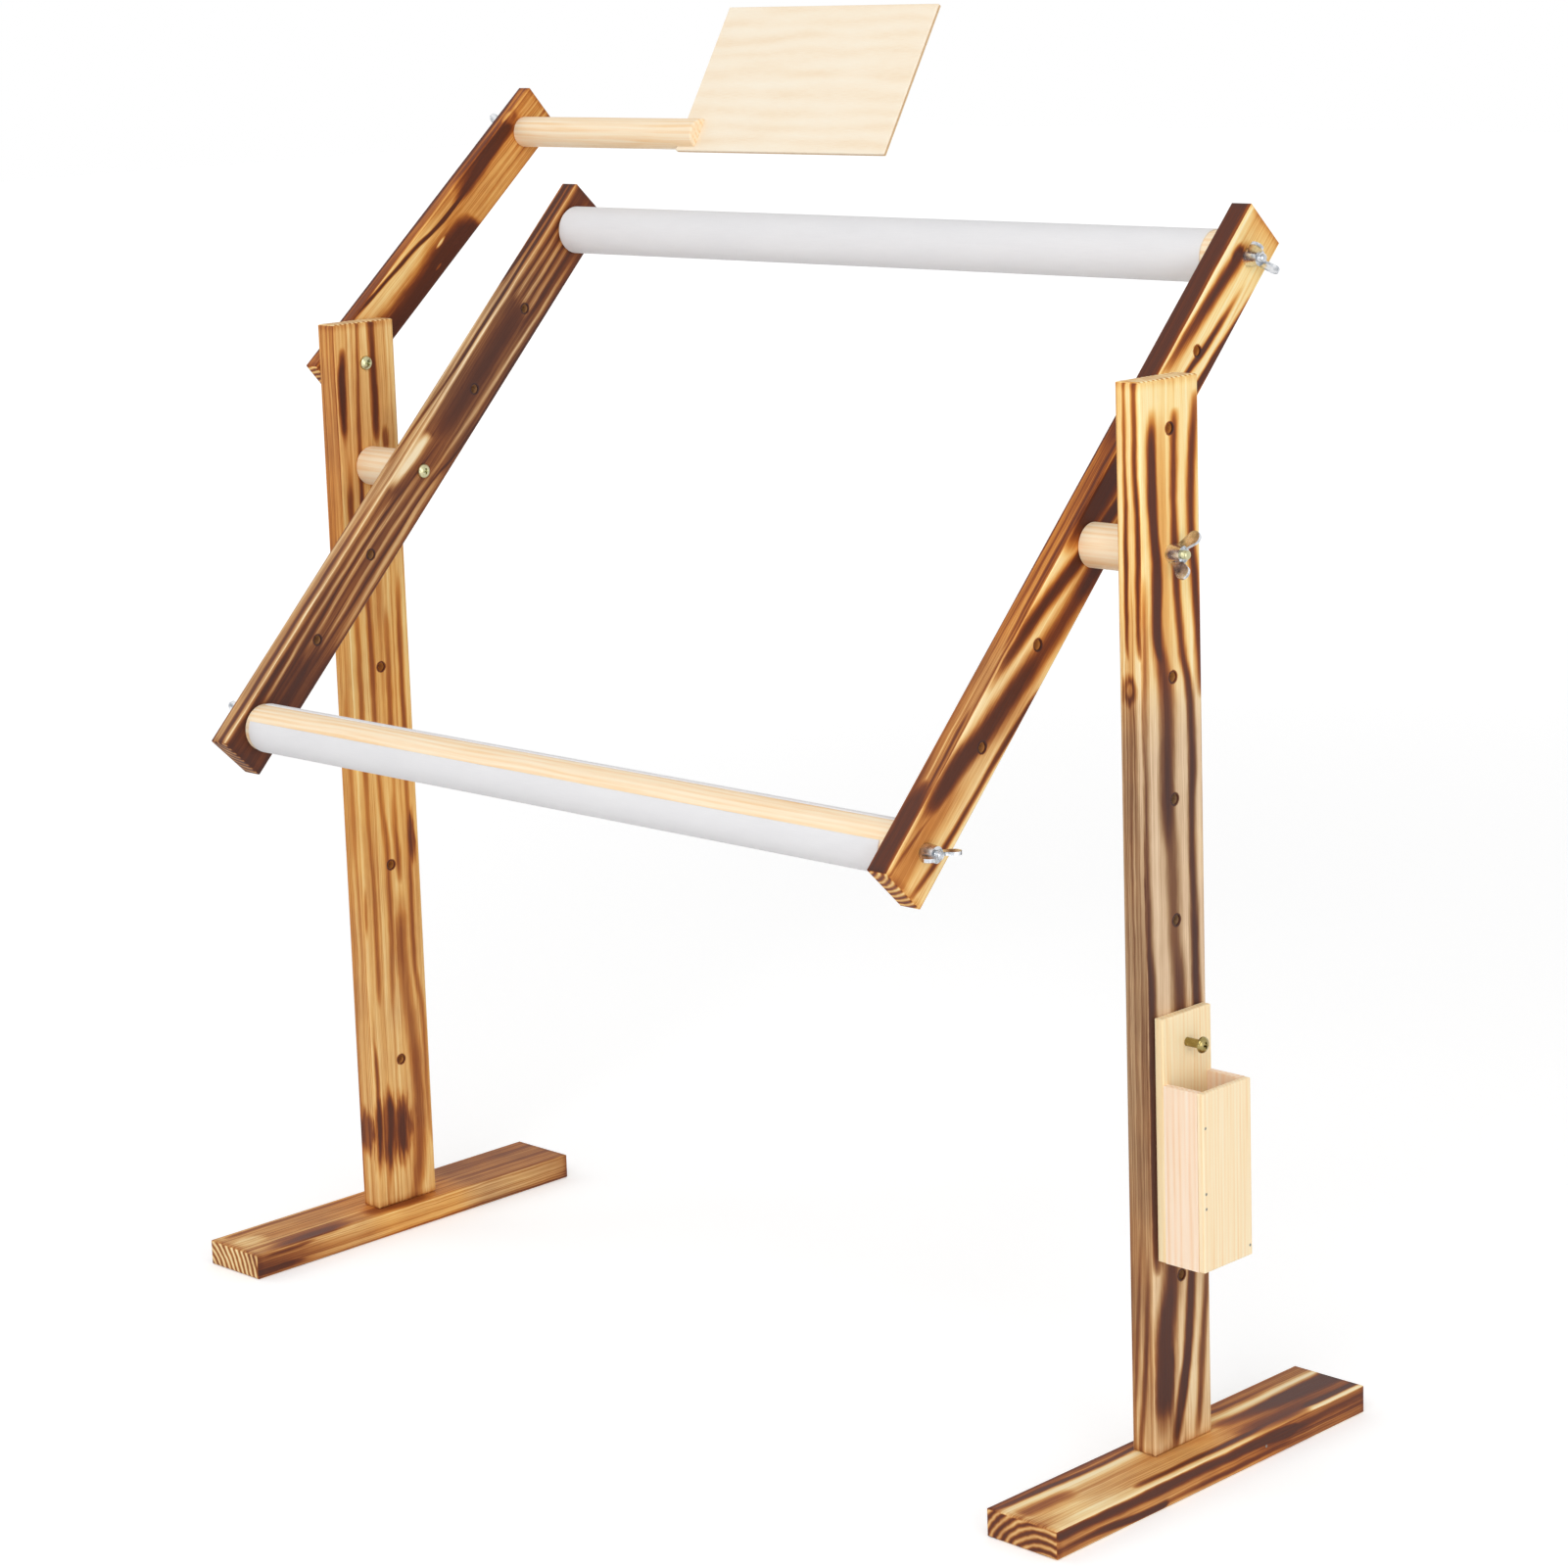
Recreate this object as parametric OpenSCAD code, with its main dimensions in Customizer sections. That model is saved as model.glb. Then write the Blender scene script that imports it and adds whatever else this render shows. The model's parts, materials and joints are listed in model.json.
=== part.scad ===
// Floor stand that holds an embroidery frame: two posts on feet carry two tilting side arms,
// two rollers with cloth strips turn between the arms, a swinging arm holds a pattern board
// over the work, and a small open box for pens hangs on the right post.
// All sizes are in millimetres. X runs from the left post to the right one, Y from the
// stitcher to the back, Z up from the floor.

/* [Posts and feet] */
// Height of a post above its foot
post_h = 710; // [660:5:760]
// Width of a post, front to back
post_w = 60; // [44:1:72]
// Thickness of a post
post_t = 20; // [16:1:28]
// Length of a foot, front to back
foot_len = 325; // [260:5:420]
// Width of a foot
foot_w = 60; // [54:1:80]
// Thickness of a foot
foot_t = 20; // [16:1:26]
// How far the middle of a foot lies outside the middle of its post
foot_outset = 8; // [0:1:12]
// Rounding along the edges of posts, feet and arms
wood_ease = 2.5; // [1:0.5:4]

/* [Height holes] */
// Number of equally spaced holes in each post, counted from the top
hole_count = 6; // [6:1:7]
// Distance from one hole to the next
hole_pitch = 80; // [70:1:84]
// Distance from the top of a post to its first hole
top_hole_drop = 32; // [20:1:40]
// Height of the separate lowest hole above the foot
lowest_hole_h = 118; // [60:2:130]
// Hole that carries the frame, counted from the top
pivot_hole = 2; // [2:1:4]
// Hole that carries the pen box, counted from the top
caddy_hole = 6; // [5:1:6]

/* [Frame] */
// Length of a roller, which sets the width of the stand
roller_len = 650; // [400:10:900]
// Diameter of a roller
roller_d = 35; // [28:1:38]
// Length of a side arm
arm_len = 540; // [500:5:560]
// Width of a side arm
arm_w = 43; // [36:1:50]
// Thickness of a side arm
arm_t = 18; // [14:1:24]
// Distance from one hole in a side arm to the next
arm_hole_pitch = 80; // [70:1:82]
// Length of the round spacer between a side arm and its post
spacer_len = 45; // [40:1:60]
// Diameter of the round spacer
spacer_d = 30; // [22:1:36]
// Tilt of the frame above the horizontal
frame_tilt = 46; // [10:1:80]

/* [Cloth strips] */
// Width of the strip of cloth wrapped round a roller
strip_w = 94; // [60:1:96]
// Thickness of the cloth
strip_t = 0.8; // [0.5:0.1:1.5]
// Bare wood at the left end of the upper roller
strip_left_gap = 2; // [2:1:20]
// Bare wood at the right end of the upper roller
strip_right_gap = 9; // [2:1:20]

/* [Pattern holder] */
// Length of the pattern arm
pattern_arm_len = 310; // [280:5:340]
// Width of the pattern arm
pattern_arm_w = 42; // [34:1:48]
// Thickness of the pattern arm
pattern_arm_t = 14; // [10:1:20]
// Distance from the lower end of the pattern arm to its pivot
pattern_arm_tail = 25; // [20:1:32]
// Distance from the upper end of the pattern arm to the stick
pattern_arm_head = 30; // [20:1:40]
// Slope of the pattern arm above the horizontal
pattern_arm_slope = 41; // [30:1:80]
// Length of the round stick
stick_len = 205; // [160:5:260]
// Diameter of the round stick
stick_d = 24; // [18:1:28]
// Width of the pattern board
board_w = 220; // [150:5:300]
// Height of the pattern board
board_h = 125; // [90:5:180]
// Thickness of the pattern board
board_t = 4; // [3:0.5:6]
// Part of the board's height that lies below the middle of the stick
board_drop = 15; // [14:1:30]
// How deep the board sits in the end of the stick
slot_depth = 20; // [12:1:30]
// Slope of the board above the horizontal
board_slope = 59; // [30:1:90]

/* [Pen box] */
// Width of the pen box
caddy_w = 50; // [40:1:70]
// Depth of the pen box with its back board
caddy_depth = 39; // [34:1:60]
// Height of the open box
caddy_h = 120; // [90:1:130]
// Height of the back board
caddy_back_h = 164; // [156:1:180]
// Thickness of the back board
caddy_back_t = 7; // [5:1:10]
// Thickness of the side, outer and bottom boards
caddy_wall_t = 5; // [4:0.5:8]
// Distance from the top of the back board to its hole
caddy_hole_drop = 20; // [12:1:24]

/* [Fasteners] */
// Diameter of the bolts
bolt_d = 6; // [5:0.5:7]
// Room all round a bolt in its hole
bolt_slack = 0.5; // [0.3:0.1:0.8]
// Diameter of a bolt's round head
head_d = 11; // [9:0.5:14]
// Height of a bolt's round head
head_h = 3.8; // [3:0.1:5]
// Diameter of a washer
washer_d = 12.5; // [11:0.5:16]
// Thickness of a washer
washer_t = 1.6; // [1:0.1:2]
// Distance from tip to tip of a wing nut
wing_span = 33; // [26:1:40]
// Height of a wing nut with its wings
wing_h = 17; // [14:1:22]
// Thickness of a wing
wing_t = 2.4; // [1.5:0.1:3]
// Diameter of a wing nut's hub at its seat
hub_d = 13; // [11:0.5:16]
// Height of a wing nut's hub
hub_h = 8.5; // [7:0.5:10]
// Length of bolt that stands out of a wing nut
bolt_tail = 4; // [2:1:10]
// How deep a hanger bolt is screwed into a roller or the stick
screw_in = 32; // [20:1:40]
// Bare shank between the head of the caddy bolt and the pen box
caddy_standoff = 12; // [6:1:20]
// Width across the flats of the hexagon nut
hex_flats = 10; // [10:0.5:13]
// Height of the hexagon nut
hex_h = 5; // [4:0.5:6]
// Diameter of the screws that hold a post on its foot
screw_d = 5; // [4:0.5:6]
// Length of the screws that hold a post on its foot
screw_len = 60; // [50:5:70]
// Distance between the two screws of a post
screw_spacing = 28; // [20:1:30]

/* [Hidden] */

$fn = 64;

// Gap between faces that turn on each other
turn_gap = 0.3;
// Gap under a wing nut
seat_gap = 0.1;
// Gap between a thread and what it is screwed into
thread_gap = 0.05;
// Room all round a bolt in a washer
washer_slack = 0.2;
// Gap between the board and the walls of its slot
slot_gap = 0.1;
// Gap between a roller and the cloth on it
cloth_gap = 0.1;
// Radius of the blunt point of a wood screw
point_r = 0.5;
// How far screw heads lie inside the sole
screw_recess = 0.5;
// Flat pieces along each rounded edge
ease_steps = 4;
// Length that a cutting shape runs past what it cuts
over = 1;

// Which way the bare stripe of each roller faces, as a turn up from the level at the back
upper_bare_turn = -10;
lower_bare_turn = 124;

// How far each wing nut is turned from the level
turn_left_pivot = 75;
turn_right_pivot = 60;
turn_upper_left = 20;
turn_upper_right = -42;
turn_lower_left = 100;
turn_lower_right = 0;
turn_pattern_arm = 30;
turn_pattern_stick = 120;

bolt_r = bolt_d / 2;
hole_r = bolt_r + bolt_slack;
thread_r = bolt_r + thread_gap;
screw_r = screw_d / 2;
screw_head_h = screw_r;
strip_r = roller_d / 2 + cloth_gap;
strip_turn = strip_w / (strip_r + strip_t / 2) * 180 / PI;
lower_strip_gap = (strip_left_gap + strip_right_gap) / 2;
board_ease = 1;

// Places across the stand, measured from its middle
arm_in_x = roller_len / 2 + turn_gap;
arm_out_x = arm_in_x + arm_t;
post_in_x = arm_out_x + spacer_len + turn_gap;
post_mid_x = post_in_x + post_t / 2;
post_out_x = post_in_x + post_t;
foot_mid_x = post_mid_x + foot_outset;
pattern_in_x = post_out_x + turn_gap;
pattern_out_x = pattern_in_x + pattern_arm_t;
caddy_in_x = post_out_x + turn_gap;
caddy_out_x = caddy_in_x + caddy_depth;

// Heights of the holes in a post
post_top = foot_t + post_h;
function hole_z(n) = post_top - top_hole_drop - (n - 1) * hole_pitch;
pivot_z = hole_z(pivot_hole);
caddy_z = hole_z(caddy_hole);
pattern_z = hole_z(1);
caddy_top = caddy_z + caddy_hole_drop;
caddy_foot = caddy_top - caddy_back_h;

// Frame: three holes on each side of the pivot, the end ones carry the rollers
side_holes = 3;
arm_reach = side_holes * arm_hole_pitch;

// Pattern holder: the stick's axis in the plane of the pattern arm
pattern_reach = pattern_arm_len - pattern_arm_tail - pattern_arm_head;
stick_y = pattern_reach * cos(pattern_arm_slope);
stick_z = pattern_z + pattern_reach * sin(pattern_arm_slope);
board_left_x = stick_len - slot_depth - pattern_in_x;
board_top_y = stick_y + (board_h - board_drop - board_ease) * cos(board_slope)
    + (board_t / 2 - board_ease) * sin(board_slope) + board_ease;

// The origin is the middle of the whole stand's box on the floor
arm_end_y = (arm_len / 2 - wood_ease) * cos(frame_tilt) + (arm_w / 2 - wood_ease) * sin(frame_tilt)
    + wood_ease;
nut_out = washer_t + seat_gap + wing_h;
wide_left = max(foot_mid_x + foot_w / 2, pattern_out_x + nut_out);
wide_right = max(foot_mid_x + foot_w / 2, caddy_out_x, post_out_x + nut_out);
mid_x = (wide_right - wide_left) / 2;
far_back = max(foot_len / 2, arm_end_y, board_top_y);
far_front = max(foot_len / 2, arm_end_y);
mid_y = (far_back - far_front) / 2;

scorched = "#9c6232";
scorched_dark = "#6b3d22";
pale_pine = "#f0cf9a";
box_pine = "#f6dca8";
plywood = "#f5e2c4";
cotton = "#f3f3f4";
zinc = "#c9ccd0";
yellow_zinc = "#b9ac6e";

// Corner points of a rectangle with rounded corners, centred on the origin
function eased_rect(w, h, r) = [
    for (corner = [0:3], step = [0:ease_steps])
        let (
            middle = corner * 90 + 45,
            turn = corner * 90 + step * 90 / ease_steps,
            cx = sign(cos(middle)) * (w / 2 - r),
            cy = sign(sin(middle)) * (h / 2 - r)
        )
        [cx + r * cos(turn), cy + r * sin(turn)]
];

// Bar or board with all its edges rounded, centred on the origin
module eased_bar(size, r) {
    intersection() {
        linear_extrude(size.z, center = true)
            polygon(eased_rect(size.x, size.y, r));
        rotate([90, 0, 0])
            linear_extrude(size.y, center = true)
                polygon(eased_rect(size.x, size.z, r));
        rotate([90, 0, 90])
            linear_extrude(size.x, center = true)
                polygon(eased_rect(size.y, size.z, r));
    }
}

// Moves a piece from the middle of the stand to the part's own origin
module in_place() {
    translate([-mid_x, -mid_y, 0])
        children();
}

// Lays a piece built along Z along X, pointing out to the given side, turned in the YZ plane
module along_x(x, y, z, side = 1, turn = 0) {
    translate([x, y, z])
        rotate([turn, 0, 0])
            rotate([0, side * 90, 0])
                children();
}

// Round cutting tool along X through a piece that is centred on x
module cross_hole(x, y, z, r, thickness) {
    along_x(x - thickness / 2 - over, y, z)
        cylinder(r = r, h = thickness + 2 * over);
}

// Frame's own plane: Y runs up along the arms from the pivot
module on_frame() {
    translate([0, 0, pivot_z])
        rotate([frame_tilt, 0, 0])
            children();
}

// Pattern arm's own plane: Y runs up along the arm from its pivot
module on_pattern_arm() {
    translate([0, 0, pattern_z])
        rotate([pattern_arm_slope, 0, 0])
            children();
}

module foot(side) {
    color(scorched_dark)
    difference() {
        translate([side * foot_mid_x, 0, foot_t / 2])
            eased_bar([foot_w, foot_len, foot_t], wood_ease);
        for (end = [-1, 1])
            translate([side * post_mid_x, end * screw_spacing / 2, 0]) {
                translate([0, 0, -over])
                    cylinder(r = screw_r + bolt_slack, h = foot_t + 2 * over);
                translate([0, 0, -over])
                    cylinder(r = screw_d + thread_gap, h = over + screw_recess);
                translate([0, 0, screw_recess])
                    cylinder(r1 = screw_d + thread_gap, r2 = screw_r + thread_gap, h = screw_head_h);
            }
    }
}

module post(side) {
    color(scorched)
    difference() {
        translate([side * post_mid_x, 0, foot_t + post_h / 2])
            eased_bar([post_t, post_w, post_h], wood_ease);
        for (n = [1:hole_count])
            cross_hole(side * post_mid_x, 0, hole_z(n), hole_r, post_t);
        cross_hole(side * post_mid_x, 0, foot_t + lowest_hole_h, hole_r, post_t);
        for (end = [-1, 1])
            translate([side * post_mid_x, end * screw_spacing / 2, foot_t - over])
                cylinder(r = screw_r + thread_gap, h = over + screw_recess + screw_len - foot_t + over);
    }
}

// Countersunk wood screws driven up through a foot
module foot_screws(side) {
    tip = screw_d;
    color(yellow_zinc)
    for (end = [-1, 1])
        translate([side * post_mid_x, end * screw_spacing / 2, screw_recess]) {
            cylinder(r1 = screw_d, r2 = screw_r, h = screw_head_h);
            cylinder(r = screw_r, h = screw_len - tip);
            translate([0, 0, screw_len - tip])
                cylinder(r1 = screw_r, r2 = point_r, h = tip);
        }
}

module side_arm(side) {
    color(scorched_dark)
    on_frame()
        difference() {
            translate([side * (arm_in_x + arm_t / 2), 0, 0])
                eased_bar([arm_t, arm_len, arm_w], wood_ease);
            for (n = [-side_holes:side_holes])
                cross_hole(side * (arm_in_x + arm_t / 2), n * arm_hole_pitch, 0, hole_r, arm_t);
        }
}

module spacer(side) {
    edge = 1;
    color(pale_pine)
    along_x(side * arm_out_x, 0, pivot_z, side)
        difference() {
            rotate_extrude()
                polygon([
                    [0, 0], [spacer_d / 2 - edge, 0], [spacer_d / 2, edge],
                    [spacer_d / 2, spacer_len - edge], [spacer_d / 2 - edge, spacer_len],
                    [0, spacer_len]
                ]);
            translate([0, 0, -over])
                cylinder(r = hole_r, h = spacer_len + 2 * over);
        }
}

// Round head seen from its seat, rising along Z
module round_head() {
    rim = head_h / 4;
    dome = head_h - rim;
    ball_r = (dome * dome + head_d * head_d / 4) / (2 * dome);
    cylinder(d = head_d, h = rim);
    translate([0, 0, rim])
        intersection() {
            translate([0, 0, dome - ball_r])
                sphere(r = ball_r, $fn = 96);
            cylinder(d = head_d, h = dome);
        }
}

// Bolt whose head rests on Z = 0 and whose shank runs up
module headed_bolt(length) {
    end = 0.8;
    mirror([0, 0, 1])
        round_head();
    cylinder(r = bolt_r, h = length - end);
    translate([0, 0, length - end])
        cylinder(r1 = bolt_r, r2 = bolt_r - end, h = end);
}

// Bolt without a head: the wood end points down from Z = 0, the nut end runs up
module hanger_bolt(out) {
    tip = bolt_d;
    end = 0.8;
    translate([0, 0, -screw_in])
        cylinder(r1 = point_r, r2 = bolt_r, h = tip);
    translate([0, 0, tip - screw_in])
        cylinder(r = bolt_r, h = screw_in - tip + out - end);
    translate([0, 0, out - end])
        cylinder(r1 = bolt_r, r2 = bolt_r - end, h = end);
}

module washer() {
    difference() {
        cylinder(d = washer_d, h = washer_t);
        translate([0, 0, -over])
            cylinder(r = bolt_r + washer_slack, h = washer_t + 2 * over);
    }
}

// Point where a line from p touches the circle of radius r around c, on the given side
function touch(p, c, r, side) =
    let (
        d = p - c,
        reach = norm(d),
        turn = atan2(d.y, d.x) + side * acos(r / reach)
    )
    c + r * [cos(turn), sin(turn)];

// Wing nut that seats on Z = 0, with its wings along Y
module wing_nut() {
    tip_r = wing_span / 7;
    taper = 1;
    sink = 1;
    hub_r = hub_d / 2;
    tip = [wing_span / 2 - tip_r, wing_h - tip_r];
    low = [hub_r - sink, sink];
    high = [hub_r - taper - 2 * sink, hub_h - sink / 2];
    below = touch(low, tip, tip_r, 1);
    above = touch(high, tip, tip_r, -1);
    color(zinc)
    difference() {
        union() {
            cylinder(r1 = hub_r, r2 = hub_r - taper, h = hub_h);
            for (side = [-1, 1])
                rotate([90, 0, 90 * side])
                    linear_extrude(wing_t, center = true)
                        union() {
                            translate(tip)
                                circle(r = tip_r);
                            polygon([low, below, tip, above, high]);
                        }
        }
        translate([0, 0, -over])
            cylinder(r = thread_r, h = wing_h + 2 * over);
    }
}

module pivot_bolt(side) {
    shank = arm_t + spacer_len + turn_gap + post_t + washer_t + seat_gap + hub_h + bolt_tail;
    color(yellow_zinc)
    along_x(side * arm_in_x, 0, pivot_z, side)
        headed_bolt(shank);
}

module pivot_nut(side, turn) {
    along_x(side * (post_out_x + washer_t + seat_gap), 0, pivot_z, side, turn)
        wing_nut();
}

// Wooden roller along X with a hole for a hanger bolt in each end
module roller() {
    edge = 1;
    color(pale_pine)
    difference() {
        along_x(-roller_len / 2, 0, 0)
            rotate_extrude()
                polygon([
                    [0, 0], [roller_d / 2 - edge, 0], [roller_d / 2, edge],
                    [roller_d / 2, roller_len - edge], [roller_d / 2 - edge, roller_len],
                    [0, roller_len]
                ]);
        for (side = [-1, 1])
            along_x(side * (roller_len / 2 - screw_in - over), 0, 0, side)
                cylinder(r = thread_r, h = screw_in + 2 * over);
    }
}

// Strip of cloth wrapped most of the way round a roller, with its bare stripe turned the given way
module cloth_strip(left_gap, bare_turn) {
    length = roller_len - strip_left_gap - strip_right_gap;
    first_edge = bare_turn + (360 - strip_turn) / 2;
    color(cotton)
    along_x(left_gap - roller_len / 2, 0, 0, 1, first_edge + 90 - frame_tilt)
        rotate_extrude(angle = strip_turn)
            translate([strip_r, 0])
                square([strip_t, length]);
}

module roller_bolts() {
    color(zinc)
    for (side = [-1, 1])
        along_x(side * roller_len / 2, 0, 0, side)
            hanger_bolt(turn_gap + arm_t + washer_t + seat_gap + hub_h + bolt_tail);
}

// Moves a piece of the upper (1) or lower (-1) roller to its place on the frame
module at_roller(level) {
    on_frame()
        translate([0, level * arm_reach, 0])
            children();
}

module roller_nut(level, side, turn) {
    at_roller(level)
        along_x(side * (arm_out_x + washer_t + seat_gap), 0, 0, side, turn - frame_tilt)
            wing_nut();
}

module roller_washers() {
    color(zinc)
    for (level = [-1, 1], side = [-1, 1])
        at_roller(level)
            along_x(side * arm_out_x, 0, 0, side)
                washer();
}

module pattern_arm() {
    middle = pattern_arm_len / 2 - pattern_arm_tail;
    x = -pattern_in_x - pattern_arm_t / 2;
    color(scorched_dark)
    on_pattern_arm()
        difference() {
            translate([x, middle, 0])
                eased_bar([pattern_arm_t, pattern_arm_len, pattern_arm_w], wood_ease);
            for (y = [0, pattern_reach])
                cross_hole(x, y, 0, hole_r, pattern_arm_t);
        }
}

module pattern_arm_bolt() {
    shank = post_t + turn_gap + pattern_arm_t + washer_t + seat_gap + hub_h + bolt_tail;
    color(yellow_zinc)
    along_x(-post_in_x, 0, pattern_z, -1)
        headed_bolt(shank);
}

// Round stick with the board's slot sawn into its free end
module pattern_stick() {
    edge = 1;
    slot_w = board_t + 2 * slot_gap;
    color(pale_pine)
    translate([-pattern_in_x, stick_y, stick_z])
        difference() {
            along_x(turn_gap, 0, 0)
                rotate_extrude()
                    polygon([
                        [0, 0], [stick_d / 2 - edge, 0], [stick_d / 2, edge],
                        [stick_d / 2, stick_len - edge], [stick_d / 2 - edge, stick_len],
                        [0, stick_len]
                    ]);
            along_x(turn_gap - over, 0, 0)
                cylinder(r = thread_r, h = screw_in + 2 * over);
            rotate([board_slope, 0, 0])
                translate([stick_len - slot_depth - slot_gap, -stick_d, -slot_w / 2])
                    cube([slot_depth + stick_d, 2 * stick_d, slot_w]);
        }
}

module pattern_board() {
    color(plywood)
    translate([board_left_x + board_w / 2, stick_y, stick_z])
        rotate([board_slope, 0, 0])
            translate([0, board_h / 2 - board_drop, 0])
                eased_bar([board_w, board_h, board_t], board_ease);
}

module pattern_stick_bolt() {
    color(zinc)
    along_x(turn_gap - pattern_in_x, stick_y, stick_z, -1)
        hanger_bolt(turn_gap + turn_gap + pattern_arm_t + washer_t + seat_gap + hub_h + bolt_tail);
}

module pattern_washer(y, z) {
    color(zinc)
    along_x(-pattern_out_x, y, z, -1)
        washer();
}

module pattern_nut(y, z, turn) {
    along_x(-pattern_out_x - washer_t - seat_gap, y, z, -1, turn)
        wing_nut();
}

module caddy_back_board() {
    x = caddy_in_x + caddy_back_t / 2;
    color(box_pine)
    difference() {
        translate([x, 0, caddy_top - caddy_back_h / 2])
            eased_bar([caddy_back_t, caddy_w, caddy_back_h], board_ease);
        cross_hole(x, 0, caddy_z, bolt_r + thread_gap, caddy_back_t);
    }
}

module caddy_outer_board() {
    color(box_pine)
    translate([caddy_out_x - caddy_wall_t / 2, 0, caddy_foot + caddy_h / 2])
        eased_bar([caddy_wall_t, caddy_w, caddy_h], board_ease);
}

// Board between the back board and the outer board
module caddy_inner_board(y, z, width, height) {
    depth = caddy_depth - caddy_back_t - caddy_wall_t;
    color(box_pine)
    translate([caddy_in_x + caddy_back_t + depth / 2, y, z])
        cube([depth, width, height], center = true);
}

module caddy_side(side) {
    y = side * (caddy_w - caddy_wall_t) / 2;
    caddy_inner_board(y, caddy_foot + caddy_h / 2, caddy_wall_t, caddy_h);
}

module caddy_bottom_board() {
    caddy_inner_board(0, caddy_foot + caddy_wall_t / 2, caddy_w - 2 * caddy_wall_t, caddy_wall_t);
}

module caddy_bolt() {
    standoff_x = caddy_in_x + caddy_back_t + caddy_standoff;
    shank = standoff_x - post_in_x + washer_t + hex_h + bolt_tail;
    color(yellow_zinc)
    along_x(standoff_x, 0, caddy_z, -1)
        headed_bolt(shank);
}

module caddy_bolt_washer() {
    color(yellow_zinc)
    along_x(post_in_x, 0, caddy_z, -1)
        washer();
}

module caddy_bolt_nut() {
    color(yellow_zinc)
    along_x(post_in_x - washer_t, 0, caddy_z, -1)
        difference() {
            cylinder(d = hex_flats / cos(30), h = hex_h, $fn = 6);
            translate([0, 0, -over])
                cylinder(r = thread_r, h = hex_h + 2 * over);
        }
}

module left_foot() { foot(-1); }
module right_foot() { foot(1); }
module left_post() { post(-1); }
module right_post() { post(1); }
module left_foot_screws() { foot_screws(-1); }
module right_foot_screws() { foot_screws(1); }
module left_arm() { side_arm(-1); }
module right_arm() { side_arm(1); }
module left_spacer() { spacer(-1); }
module right_spacer() { spacer(1); }
module left_pivot_bolt() { pivot_bolt(-1); }
module right_pivot_bolt() { pivot_bolt(1); }

module pivot_washers() {
    color(zinc)
    for (side = [-1, 1])
        along_x(side * post_out_x, 0, pivot_z, side)
            washer();
}

module left_pivot_wing_nut() { pivot_nut(-1, turn_left_pivot); }
module right_pivot_wing_nut() { pivot_nut(1, turn_right_pivot); }
module upper_roller() { at_roller(1) roller(); }
module upper_cloth_strip() { at_roller(1) cloth_strip(strip_left_gap, upper_bare_turn); }
module upper_roller_bolts() { at_roller(1) roller_bolts(); }
module lower_roller() { at_roller(-1) roller(); }
module lower_cloth_strip() { at_roller(-1) cloth_strip(lower_strip_gap, lower_bare_turn); }
module lower_roller_bolts() { at_roller(-1) roller_bolts(); }
module upper_left_wing_nut() { roller_nut(1, -1, turn_upper_left); }
module upper_right_wing_nut() { roller_nut(1, 1, turn_upper_right); }
module lower_left_wing_nut() { roller_nut(-1, -1, turn_lower_left); }
module lower_right_wing_nut() { roller_nut(-1, 1, turn_lower_right); }
module pattern_arm_washer() { pattern_washer(0, pattern_z); }
module pattern_arm_wing_nut() { pattern_nut(0, pattern_z, turn_pattern_arm); }
module pattern_stick_washer() { pattern_washer(stick_y, stick_z); }
module pattern_stick_wing_nut() { pattern_nut(stick_y, stick_z, turn_pattern_stick); }
module caddy_near_side() { caddy_side(-1); }
module caddy_far_side() { caddy_side(1); }

in_place() left_foot();
in_place() right_foot();
in_place() left_post();
in_place() right_post();
in_place() left_foot_screws();
in_place() right_foot_screws();
in_place() left_arm();
in_place() right_arm();
in_place() left_spacer();
in_place() right_spacer();
in_place() left_pivot_bolt();
in_place() right_pivot_bolt();
in_place() pivot_washers();
in_place() left_pivot_wing_nut();
in_place() right_pivot_wing_nut();
in_place() upper_roller();
in_place() upper_cloth_strip();
in_place() upper_roller_bolts();
in_place() lower_roller();
in_place() lower_cloth_strip();
in_place() lower_roller_bolts();
in_place() roller_washers();
in_place() upper_left_wing_nut();
in_place() upper_right_wing_nut();
in_place() lower_left_wing_nut();
in_place() lower_right_wing_nut();
in_place() pattern_arm();
in_place() pattern_arm_bolt();
in_place() pattern_arm_washer();
in_place() pattern_arm_wing_nut();
in_place() pattern_stick();
in_place() pattern_board();
in_place() pattern_stick_bolt();
in_place() pattern_stick_washer();
in_place() pattern_stick_wing_nut();
in_place() caddy_back_board();
in_place() caddy_outer_board();
in_place() caddy_near_side();
in_place() caddy_far_side();
in_place() caddy_bottom_board();
in_place() caddy_bolt();
in_place() caddy_bolt_washer();
in_place() caddy_bolt_nut();
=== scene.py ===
"""Looks of the embroidery frame stand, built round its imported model.

X runs from the left post to the right one, Y from the stitcher to the back, Z up. Lengths are in
metres where Blender needs them, and in millimetres inside the materials and along the bolts.
"""

import json
import math
from collections import namedtuple

import bmesh
import bpy
from mathutils import Matrix, Vector

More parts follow.
